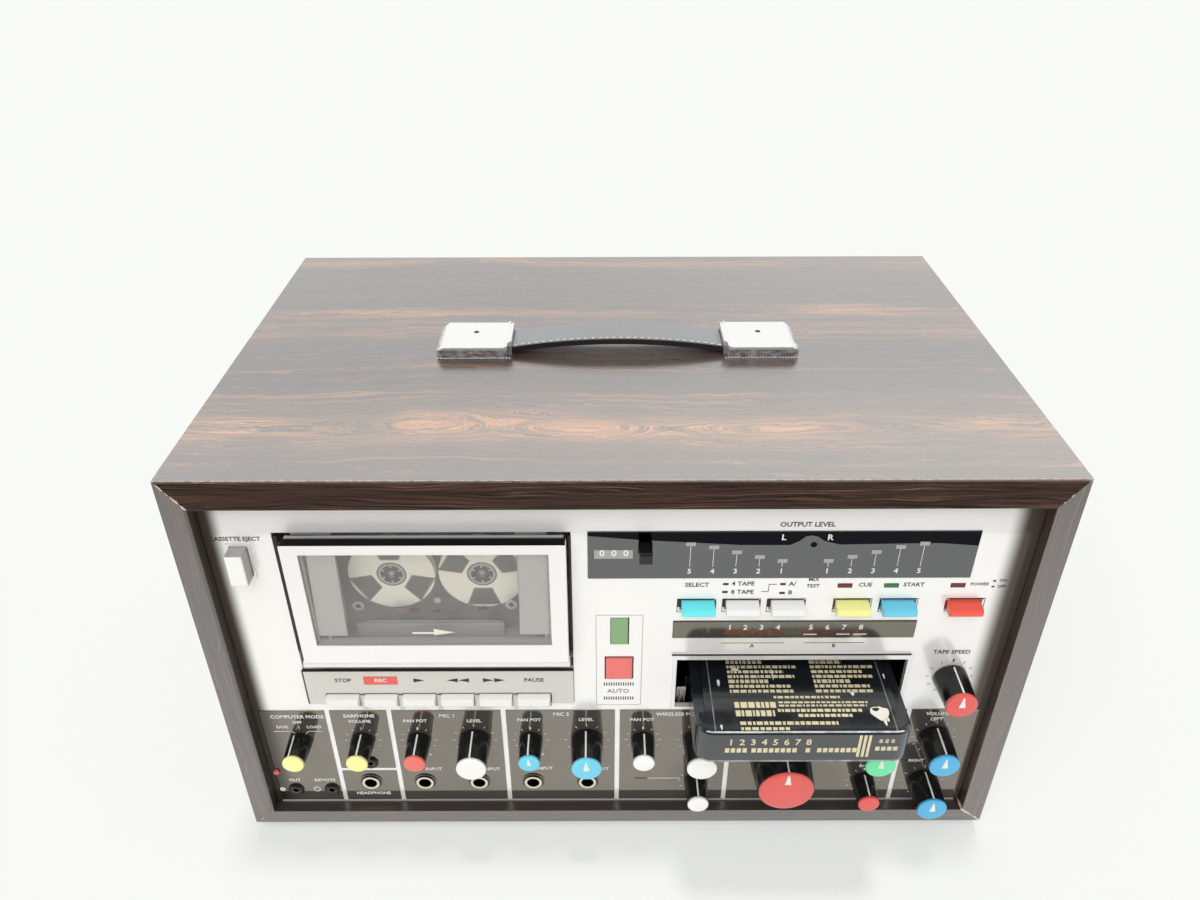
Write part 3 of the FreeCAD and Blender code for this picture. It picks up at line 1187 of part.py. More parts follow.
def pinch_roller():
    """Rubber roller that the cartridge carries in its notch, standing on its own axle."""
    y = TRACK_CAPSTAN_Y - TRACK_CAPSTAN_RADIUS - SEAT_GAP - PINCH_RADIUS
    top = CARTRIDGE_TOP - CARTRIDGE_SKIN - CARTRIDGE_STEP_DROP
    wheel = rod_z(TRACK_CAPSTAN_X, y, CARTRIDGE_BOTTOM + 1, top - 1, PINCH_RADIUS)
    return wheel.fuse(rod_z(TRACK_CAPSTAN_X, y, CARTRIDGE_BOTTOM + 1, top, SPINDLE_RADIUS))


def cartridge_tray():
    """Folded sheet tunnel behind the slot, with two guides and a stop."""
    top = SLOT_TOP + FIT_GAP
    left, right = SLOT_LEFT - TRAY_WALL, SLOT_RIGHT + TRAY_WALL
    tunnel = block(left, right, TRAY_FRONT, TRAY_BACK + TRAY_WALL, DECK_TOP, top + TRAY_WALL)
    tunnel = tunnel.cut(block(SLOT_LEFT, SLOT_RIGHT, TRAY_FRONT, TRAY_BACK, TRAY_FLOOR, top))
    low, high = CARTRIDGE_X - CARTRIDGE_WIDTH / 2 - SEAT_GAP, CARTRIDGE_X + CARTRIDGE_WIDTH / 2 + SEAT_GAP
    guide_top = TRAY_FLOOR + TRAY_GUIDE_HEIGHT
    start = TRAY_FRONT + 6
    tunnel = tunnel.fuse(block(low - TRAY_WALL, low, start, TRAY_BACK, TRAY_FLOOR, guide_top))
    tunnel = tunnel.fuse(block(high, high + TRAY_WALL, start, TRAY_BACK, TRAY_FLOOR, guide_top))
    capstan_way = block(TRACK_CAPSTAN_X - 5, TRACK_CAPSTAN_X + 5, TRACK_CAPSTAN_Y - 5, TRAY_BACK + TRAY_WALL,
                        DECK_TOP, TRAY_FLOOR + TRACK_CAPSTAN_HEIGHT)
    head_way = block(CARTRIDGE_X - TRACK_HEAD_WIDTH / 2 - 1, CARTRIDGE_X + TRACK_HEAD_WIDTH / 2 + 1,
                     TRAY_BACK, TRAY_BACK + TRAY_WALL, TRAY_FLOOR, TRAY_FLOOR + TRACK_HEAD_HEIGHT)
    return tunnel.cut([capstan_way, head_way]).removeSplitter()


def track_capstan():
    x, y = TRACK_CAPSTAN_X, TRACK_CAPSTAN_Y
    wheel_top = DECK_BOTTOM - BEARING_LENGTH - SEAT_GAP
    shaft = rod_z(x, y, wheel_top, CARTRIDGE_BOTTOM + TRACK_CAPSTAN_REACH, TRACK_CAPSTAN_RADIUS)
    return shaft.fuse(rod_z(x, y, wheel_top - TRACK_FLYWHEEL_HEIGHT, wheel_top, TRACK_FLYWHEEL_RADIUS))


def motors():
    """Both motors with their shafts and pulleys, and the belt of each."""
    flywheel_y = PLATE_BACK + BEARING_LENGTH + SEAT_GAP + PULLEY_WIDTH + 1.0
    belt_y = flywheel_y + (FLYWHEEL_WIDTH - BELT_WIDTH) / 2
    x, z = CASSETTE_X - MOTOR_SIDE, CAPSTAN_Z
    body_y = flywheel_y + FLYWHEEL_WIDTH + 2
    mount = block(x - MOTOR_RADIUS, x + MOTOR_RADIUS, body_y, body_y + SHEET, z - MOTOR_RADIUS, z + MOTOR_RADIUS)
    post_rise = MOTOR_RADIUS - MOTOR_POST_RADIUS
    posts = [rod_y(x + side, z + rise, PLATE_BACK, body_y, MOTOR_POST_RADIUS)
             for side in MOTOR_POST_X for rise in (-post_rise, post_rise)]
    can = rod_y(x, z, body_y, body_y + MOTOR_LENGTH, MOTOR_RADIUS)
    pulley = rod_y(x, z, belt_y - 1, belt_y + BELT_WIDTH + 1, MOTOR_PULLEY)
    shaft = rod_y(x, z, belt_y - 1, body_y, 1.2)
    cassette_motor = can.fuse([mount, pulley, shaft] + posts)

    def upright(u, v):
        return Vector(u, belt_y, v)

    cassette_belt = belt((CAPSTAN_X, CAPSTAN_Z), FLYWHEEL_RADIUS, (x, z), MOTOR_PULLEY, upright, (0, BELT_WIDTH, 0))

    track_x, track_y = TRACK_CAPSTAN_X + TRACK_MOTOR_SIDE, TRACK_CAPSTAN_Y + TRACK_MOTOR_BACK
    wheel_top = DECK_BOTTOM - BEARING_LENGTH - SEAT_GAP
    belt_z = wheel_top - TRACK_FLYWHEEL_HEIGHT / 2 - BELT_WIDTH / 2
    can = rod_z(track_x, track_y, DECK_TOP, DECK_TOP + TRACK_MOTOR_HEIGHT, TRACK_MOTOR_RADIUS)
    shaft = rod_z(track_x, track_y, belt_z, DECK_TOP, 1.5)
    pulley = rod_z(track_x, track_y, belt_z - 1, belt_z + BELT_WIDTH + 1, MOTOR_PULLEY)

    def level(u, v):
        return Vector(u, v, belt_z)

    track_belt = belt((TRACK_CAPSTAN_X, TRACK_CAPSTAN_Y), TRACK_FLYWHEEL_RADIUS, (track_x, track_y), MOTOR_PULLEY,
                      level, (0, 0, BELT_WIDTH))
    return [cassette_motor, cassette_belt, can.fuse([shaft, pulley]), track_belt]


# ---- Chassis ----
def chassis():
    """Bent sheet: bearing plate across the front, floor plate, and deck for the cartridge."""
    left, right = WALL_LEFT + CHASSIS_SIDE_GAP, WALL_RIGHT - CHASSIS_SIDE_GAP
    top = BOARD + BEARING_PLATE_HEIGHT
    plate = block(left, right, PLATE_FRONT, PLATE_BACK, BOARD, top)
    floor_plate = block(left, right, PLATE_FRONT, FLOOR_END, BOARD, CHASSIS_FLOOR)
    deck_x = (SLOT_LEFT - TRAY_WALL - DECK_SIDE, SLOT_RIGHT + TRAY_WALL + DECK_SIDE)
    deck_end = PLATE_BACK + DECK_LENGTH
    deck = block(deck_x[0], deck_x[1], PLATE_FRONT, deck_end, DECK_BOTTOM, DECK_TOP)
    apron = block(deck_x[0], deck_x[1], deck_end - SHEET, deck_end, BOARD, DECK_TOP)
    shape = plate.fuse([floor_plate, deck, apron] + bearings() + key_rod())
    cutters = [
        block(SLOT_LEFT - TRAY_WALL - FIT_GAP, SLOT_RIGHT + TRAY_WALL + FIT_GAP, PLATE_FRONT, PLATE_BACK,
              DECK_TOP, SLOT_TOP + FIT_GAP + TRAY_WALL + FIT_GAP),
        block(KEYS_LEFT - 2, KEYS_RIGHT + 2, PLATE_FRONT, PLATE_BACK, KEY_PIVOT_Z - KEY_ARM_HEIGHT - KEY_TRAVEL,
              KEY_PIVOT_Z + KEY_ARM_HEIGHT),
        rod_z(TRACK_CAPSTAN_X, TRACK_CAPSTAN_Y, DECK_BOTTOM - BEARING_LENGTH, DECK_TOP,
              TRACK_CAPSTAN_RADIUS + RUNNING_GAP),
        rod_z(TRACK_CAPSTAN_X + TRACK_MOTOR_SIDE, TRACK_CAPSTAN_Y + TRACK_MOTOR_BACK, DECK_BOTTOM, DECK_TOP, 3.0),
        rod_y(CAPSTAN_X, CAPSTAN_Z, PLATE_FRONT, PLATE_BACK + BEARING_LENGTH, CAPSTAN_RADIUS + RUNNING_GAP),
    ]
    for x in (HUB_LEFT_X, HUB_RIGHT_X):
        cutters.append(rod_y(x, HUB_Z, PLATE_FRONT, PLATE_BACK + BEARING_LENGTH, SPINDLE_RADIUS + RUNNING_GAP))
    return shape.cut(cutters).removeSplitter()


def bearings():
    """Bushes of the spindles and capstans, pressed into the plate and the deck."""
    found = []
    for x in (HUB_LEFT_X, HUB_RIGHT_X):
        found.append(rod_y(x, HUB_Z, PLATE_FRONT, PLATE_BACK + BEARING_LENGTH, SPINDLE_RADIUS + BEARING_WALL))
    found.append(rod_y(CAPSTAN_X, CAPSTAN_Z, PLATE_FRONT, PLATE_BACK + BEARING_LENGTH, CAPSTAN_RADIUS + BEARING_WALL))
    found.append(rod_z(TRACK_CAPSTAN_X, TRACK_CAPSTAN_Y, DECK_BOTTOM - BEARING_LENGTH, DECK_TOP,
                       TRACK_CAPSTAN_RADIUS + BEARING_WALL))
    return found


def key_rod():
    """Pivot rod of the piano keys and the two brackets that hold it."""
    x0, x1 = KEYS_LEFT - 5, KEYS_RIGHT + 5
    reach = KEY_PIVOT_Y + 5
    pieces = [rod_x(KEY_PIVOT_Y, KEY_PIVOT_Z, x0, x1, KEY_ROD_RADIUS)]
    for x in (x0, x1 - SHEET):
        pieces.append(block(x, x + SHEET, PLATE_FRONT, reach, KEY_PIVOT_Z - 6, KEY_PIVOT_Z + 6))
    return pieces


# ---- Electronics ----
def potentiometer(x, z):
    bore = SHAFT_RADIUS + RUNNING_GAP
    can = block(x - POT_HALF, x + POT_HALF, FACE_BACK, FACE_BACK + POT_DEPTH, z - POT_HALF, z + POT_HALF)
    bush = rod_y(x, z, FACE_FRONT, FACE_BACK, SHAFT_RADIUS + BUSH_WALL)
    end = KNOB_BACK + SHAFT_REACH + SEAT_GAP
    return can.fuse(bush).cut(rod_y(x, z, FACE_FRONT, end, bore))


def control_boards():
    """Boards behind the control panel that carry the potentiometers."""
    y0 = FACE_BACK + POT_DEPTH
    y1 = y0 + BOARD_THICKNESS
    lower_left = field_spans()[4][0] + CONTROL_BOARD_LIP
    z_split = PANEL_BOTTOM + UPPER_ROW - CONTROL_BOARD_LIP
    z_top = PANEL_TOP - 1
    boards = [block(PANEL_LEFT + 6, PANEL_RIGHT - 6, y0, y1, z_split, z_top),
              block(lower_left, PANEL_RIGHT - 6, y0, y1, PANEL_BOTTOM + 1, z_split)]
    speed = [place for place in knob_places() if place[0] == "knob_tape_speed"][0]
    x, z = speed[1], speed[2]
    boards.append(block(x - POT_HALF, x + POT_HALF, y0, y1, z - POT_HALF - 4, z + POT_HALF))
    return [boards[0].fuse(boards[1]).removeSplitter(), boards[2]]


def display_board():
    """Board behind the display and push-button switches, on spacers from the chassis."""
    y1 = PLATE_FRONT - SPACER_LENGTH
    x0, x1 = DISPLAY_LEFT, DISPLAY_RIGHT + DISPLAY_BOARD_LIP
    z0, z1 = BUTTON_SLOT_BOTTOM - 4, BOARD + BEARING_PLATE_HEIGHT
    board = block(x0, x1, y1 - BOARD_THICKNESS, y1, z0, z1)
    spacers = [rod_y(x, z, y1, PLATE_FRONT, STANDOFF_RADIUS)
               for x in (x0 + SPACER_INSET, x1 - SPACER_INSET) for z in (z0 + SPACER_INSET, z1 - SPACER_INSET)]
    return board.fuse(spacers)


def main_board():
    x0, x1 = MAIN_BOARD_X - MAIN_BOARD_WIDTH / 2, MAIN_BOARD_X + MAIN_BOARD_WIDTH / 2
    y0, y1 = MAIN_BOARD_FRONT, MAIN_BOARD_FRONT + MAIN_BOARD_LENGTH
    low = CHASSIS_FLOOR + STANDOFF_HEIGHT
    pieces = [block(x0, x1, y0, y1, low, low + BOARD_THICKNESS)]
    for x in (x0 + 6, x1 - 6):
        for y in (y0 + 6, y1 - 6):
            pieces.append(rod_z(x, y, CHASSIS_FLOOR, low, STANDOFF_RADIUS))
    deck = low + BOARD_THICKNESS
    for i in range(2):
        y = y0 + CAPACITOR_START + CAPACITOR_PITCH * i
        pieces.append(rod_z(x1 - CAPACITOR_INSET, y, deck, deck + CAPACITOR_HEIGHT, CAPACITOR_RADIUS))
    fin_y = y1 - HEATSINK_INSET
    sink_x = MAIN_BOARD_X - HEATSINK_WIDTH / 2
    pieces.append(block(sink_x, sink_x + HEATSINK_WIDTH, fin_y, fin_y + 3, deck, deck + HEATSINK_HEIGHT))
    pitch = (HEATSINK_WIDTH - 2) / (HEATSINK_FINS - 1)
    for i in range(HEATSINK_FINS):
        x = sink_x + i * pitch
        pieces.append(block(x, x + 2, fin_y + 3, fin_y + 3 + FIN_DEPTH, deck, deck + HEATSINK_HEIGHT))
    return pieces[0].fuse(pieces[1:]).removeSplitter()


def circuit_boards():
    pots = [potentiometer(x, z) for name, x, z, style, angle in knob_places()]
    return pots + control_boards() + [display_board(), main_board()]


def transformer():
    """Laminated core on its foot bracket, with the coil bulging from both sides."""
    x, y = TRANSFORMER_X, FLOOR_END - TRANSFORMER_INSET
    z = CHASSIS_FLOOR
    core = block(x - CORE_WIDTH / 2, x + CORE_WIDTH / 2, y - CORE_DEPTH / 2, y + CORE_DEPTH / 2, z, z + CORE_HEIGHT)
    coil = rounded_block(x - CORE_WIDTH / 3, x + CORE_WIDTH / 3, y - CORE_DEPTH / 2 - COIL_BULGE,
                         y + CORE_DEPTH / 2 + COIL_BULGE, z + COIL_LIFT, z + CORE_HEIGHT - COIL_DROP,
                         COIL_CORNER, (0, 0, 1))
    half = CORE_WIDTH / 2 + FOOT_TAB
    foot = block(x - half, x + half, y - FOOT_BRACKET_HALF, y + FOOT_BRACKET_HALF, z, z + SHEET)
    return core.fuse([coil, foot])


# ---- Back ----
def socket_window(x):
    half_w = SOCKET_PLATE_WIDTH / 2 - SOCKET_WINDOW_LIP
    half_h = SOCKET_PLATE_HEIGHT / 2 - SOCKET_WINDOW_LIP
    return (x - half_w, x + half_w, SOCKET_PLATE_Z - half_h, SOCKET_PLATE_Z + half_h)


def back_panel():
    back = CABINET_DEPTH - BACK_SETBACK
    front = back - BACK_THICKNESS
    panel = block(WALL_LEFT + FIT_GAP, WALL_RIGHT - FIT_GAP, front, back, BOARD + FIT_GAP, CEILING - FIT_GAP)
    cutters = [slab(socket_window(x), front, back) for x in TERMINAL_PLATE_X]
    for row in range(VENT_ROWS):
        z = CEILING - 24 - row * (VENT_HEIGHT + 10) - VENT_HEIGHT
        for column in range(VENT_COLUMNS):
            x = (column - (VENT_COLUMNS - 1) / 2) * VENT_PITCH
            cutters.append(block(x - VENT_WIDTH / 2, x + VENT_WIDTH / 2, front, back, z, z + VENT_HEIGHT))
    return panel.cut(cutters)


def rear_terminals():
    """Two plates of pin sockets and the mains inlet, each closing a window of the back panel."""
    face = CABINET_DEPTH - BACK_SETBACK
    half_w, half_h = SOCKET_PLATE_WIDTH / 2, SOCKET_PLATE_HEIGHT / 2
    found = []
    for x in TERMINAL_PLATE_X:
        plate = block(x - half_w, x + half_w, face, face + SHEET, SOCKET_PLATE_Z - half_h, SOCKET_PLATE_Z + half_h)
        found.append(plate)
    for i in range(2):
        for dx in (-SOCKET_PITCH / 2, SOCKET_PITCH / 2):
            for dz in (-SOCKET_PITCH / 2, SOCKET_PITCH / 2):
                x, z = TERMINAL_PLATE_X[i] + dx, SOCKET_PLATE_Z + dz
                found[i] = found[i].fuse(rod_y(x, z, face, face + SHEET + SOCKET_LENGTH, SOCKET_RADIUS))
                found[i] = found[i].cut(rod_y(x, z, face + SHEET, face + SHEET + SOCKET_LENGTH, SOCKET_PIN_RADIUS))
    x = TERMINAL_PLATE_X[2]
    body = (x - INLET_WIDTH / 2, x + INLET_WIDTH / 2, SOCKET_PLATE_Z - INLET_HEIGHT / 2, SOCKET_PLATE_Z + INLET_HEIGHT / 2)
    inlet = slab(body, face - INLET_CAVITY - 2, face + SHEET + 3)
    found[2] = found[2].fuse(inlet).cut(slab(grown(body, -2.0), face + SHEET + 3 - INLET_CAVITY, face + SHEET + 3))
    return found


# ---- Assembly ----
def stand_on_feet(shape):
    """Move from the cabinet frame to the object's own frame."""
    middle = (CABINET_DEPTH - CARTRIDGE_REACH) / 2
    shape.translate(Vector(0, -middle, FOOT_HEIGHT))
    return shape


def all_nodes():
    nodes = {
        "cabinet_shell": cabinet_boards(),
        "back_panel": [back_panel()],
        "rubber_feet": feet(),
        "handle_brackets": [handle_bracket(-1), handle_bracket(1)],
        "handle_strap": [handle_strap()],
        "faceplate": [faceplate()],
        "control_overlay": control_fields(),
        "display_windows": display_windows(),
        "slot_bezel": [slot_bezel(), eject_frame()],
        "key_surround": [key_surround()],
        "cassette_well": [cassette_well()],
        "cartridge_tray": [cartridge_tray()],
        "indicator_lamps": lamps(),
        "jacks": jacks(),
        "chassis_plate": [chassis()],
        "circuit_boards": circuit_boards(),
        "transformer": [transformer()],
        "motors": motors(),
        "tape_heads": tape_heads(),
        "rear_terminals": rear_terminals(),
        "eject_button": [eject_button()],
        "auto_select_button": [square_button()],
        "counter_reset": [reset_button()],
        "cartridge": [cartridge(), pinch_roller()],
        "door_frame": [door_frame()],
        "door_window": [door_window()],
        "cassette_shell": [cassette_shell()],
        "reel_left": [reel(HUB_LEFT_X)],
        "reel_right": [reel(HUB_RIGHT_X)],
        "spindle_left": [spindle(HUB_LEFT_X)],
        "spindle_right": [spindle(HUB_RIGHT_X)],
        "cassette_capstan": [cassette_capstan()],
        "eight_track_capstan": [track_capstan()],
    }
    for i in range(KEY_COUNT):
        nodes[f"piano_key_{i + 1}"] = [piano_key(i)]
    for name, left, width, proud in PUSH_BUTTONS:
        nodes[name] = [push_button(left, width, proud)]
    for name, x, z, style, angle in knob_places():
        nodes[name] = [knob(x, z, style, angle)]
    return nodes


os.makedirs("parts", exist_ok=True)
for node, solids in all_nodes().items():
    stand_on_feet(Part.makeCompound(solids)).exportStep(f"parts/{node}.step")
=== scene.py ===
"""Finishes, printed marks and small parts of the tape player, with its floor, lamps and camera."""

import math
import random
from functools import partial, reduce

import bmesh
import bpy
from mathutils import Euler, Matrix, Vector


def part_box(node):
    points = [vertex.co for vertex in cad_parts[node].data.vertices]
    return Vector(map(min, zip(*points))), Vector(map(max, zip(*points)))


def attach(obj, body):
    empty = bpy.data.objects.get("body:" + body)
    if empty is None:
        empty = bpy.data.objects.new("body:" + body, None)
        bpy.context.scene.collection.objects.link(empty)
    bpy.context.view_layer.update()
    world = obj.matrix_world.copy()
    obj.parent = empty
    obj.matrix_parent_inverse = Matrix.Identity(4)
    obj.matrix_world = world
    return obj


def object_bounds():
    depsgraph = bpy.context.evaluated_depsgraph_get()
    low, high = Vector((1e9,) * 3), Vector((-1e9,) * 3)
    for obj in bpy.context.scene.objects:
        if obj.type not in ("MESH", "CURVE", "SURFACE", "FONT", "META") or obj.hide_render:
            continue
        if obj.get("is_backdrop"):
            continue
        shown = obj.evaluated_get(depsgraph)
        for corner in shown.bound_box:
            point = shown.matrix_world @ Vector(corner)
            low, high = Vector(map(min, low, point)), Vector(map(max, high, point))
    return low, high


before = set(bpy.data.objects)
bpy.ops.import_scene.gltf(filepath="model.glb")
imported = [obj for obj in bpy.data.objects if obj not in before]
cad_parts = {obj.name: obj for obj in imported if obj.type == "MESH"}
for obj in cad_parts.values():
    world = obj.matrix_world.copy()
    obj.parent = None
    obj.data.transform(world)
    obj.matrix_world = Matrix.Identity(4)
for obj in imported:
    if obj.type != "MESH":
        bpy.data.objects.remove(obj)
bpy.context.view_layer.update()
random.seed(8)

MM = 0.001
FEET = 8.0          # the cabinet stands this high
LID = 237.0         # its upper face over the ground
HALF_WIDTH = 200.0  # half the cabinet's width
MIDDLE = 111.5      # front edge of the cabinet to the middle of the part
INK = 0.08          # thickness of printed marks, drawn thick enough to show
PANEL = 3.6         # face of the dark control fields
PLATE = 4.0         # face of the aluminium plate
GLASS = 3.5         # face of the display
SUNK = 0.02         # how far marks reach into the face that they stand on
LENS_MIDDLE = 31.45  # middle of the green lens, over the foot of the square button
BOLD = 0.02         # how far letters are thickened, for each unit of their size
LARGER = 1.2        # printed words are drawn this much larger than their nominal height
CAPITAL = 0.73      # height of a capital letter, for each unit of a letter's size


def at(x, y, z):
    """A point given in millimetres from the middle of the cabinet's front lower edge."""
    return Vector((x * MM, (y - MIDDLE) * MM, (z + FEET) * MM))


# ---- Shader helpers ----
COLOURS = {"data_type": "RGBA"}
SMOOTH = {"interpolation_type": "SMOOTHSTEP"}


def linear(text):
    """An sRGB hex value as a linear colour."""
    parts = [int(text[i:i + 2], 16) / 255 for i in (1, 3, 5)]
    return tuple(c / 12.92 if c <= 0.04045 else ((c + 0.055) / 1.055) ** 2.4 for c in parts) + (1.0,)


def give(node, *inputs, **named):
    """Sets or links a node's sockets, in order or by name with _ for a space; a colour may be an sRGB hex value."""
    sockets = [socket for socket in node.inputs if socket.enabled]
    pairs = list(zip(sockets, inputs))
    for name, value in named.items():
        pairs.append((next(socket for socket in sockets if socket.name == name.replace("_", " ")), value))
    for socket, value in pairs:
        if isinstance(value, bpy.types.Node):
            value = next(out for out in value.outputs if out.enabled)
        if isinstance(value, bpy.types.NodeSocket):
            node.id_data.links.new(value, socket)
        else:
            socket.default_value = linear(value) if isinstance(value, str) else value


def add_node(tree, kind, *inputs, stops=(), **named):
    """Adds a node; lower-case names are its settings, the rest its inputs, and stops the colours of a ramp.

    The name of an operation, such as MULTIPLY, may stand for the kind and gives a Math node.
    """
    if kind.isupper():
        kind, named = "Math", dict(named, operation=kind)
    node = tree.nodes.new("ShaderNode" + kind)
    for name in [name for name in named if name[0].islower()]:
        setattr(node, name, named.pop(name))
    for i, (position, colour) in enumerate(stops):
        stop = node.color_ramp.elements[i] if i < 2 else node.color_ramp.elements.new(position)
        stop.position, stop.color = position, linear(colour)
    give(node, *inputs, **named)
    return node


def start(name):
    """A new material, what adds nodes to it, its shader and the place on the object in millimetres."""
    made = bpy.data.materials.new(name)
    made.use_nodes = True
    add = partial(add_node, made.node_tree)
    place = add("VectorMath", add("TexCoord").outputs["Object"], 1000.0, operation="SCALE")
    return made, add, made.node_tree.nodes["Principled BSDF"], place


def drawn_out(add, place, stretch, **settings):
    """Noise at the given repeats a millimetre along each axis, so that it runs in streaks."""
    spread = add("VectorMath", place, stretch, operation="MULTIPLY")
    return add("TexNoise", Vector=spread, **{"Scale": 1.0, **settings})


def uneven(add, height, strength, depth, edge):
    """The normal of a finely uneven surface with softened edges; depth and edge are in millimetres."""
    soft = add("Bevel", Radius=edge * MM, samples=4)
    return add("Bump", Strength=strength, Distance=depth * MM, Height=height, Normal=soft)


def moulded(name, colour, shade, rough, grain=0.8, relief=0.01, edge=0.35, metallic=0.0):
    """Moulded or plated finish: slow colour drift, fine texture of the mould, edges softened."""
    made, add, shader, place = start(name)
    drift = add("TexNoise", Vector=place, Scale=1 / 35, Detail=3.0)
    fine = add("TexNoise", Vector=place, Scale=1 / grain, Detail=2.0)
    colour_mix = add("Mix", drift, colour, shade, **COLOURS)
    rough_map = add("MapRange", drift, 0.3, 0.7, rough[0], rough[1])
    give(shader, Base_Color=colour_mix, Roughness=rough_map, Metallic=metallic,
         Normal=uneven(add, fine, 0.6, relief, edge))
    return made


# the eyes of the grain on the top: place from side to side, half length, depth, all in millimetres
EYES = ((-91.0, 25.0, 1.0), (-18.0, 30.0, 1.0), (78.0, 42.0, 0.85))
# bands of pale wood on the top: place from front to back of the first eye, half width, strength
HEARTWOOD = ((0.0, 15.0, 0.95), (30.0, 1.8, 0.7), (24.0, 1.3, 0.5), (-29.0, 1.4, 0.5), (98.0, 6.0, 0.65),
             (111.0, 4.0, 0.4), (124.0, 5.0, 0.5), (201.0, 6.0, 0.6), (57.0, 1.5, 0.35))


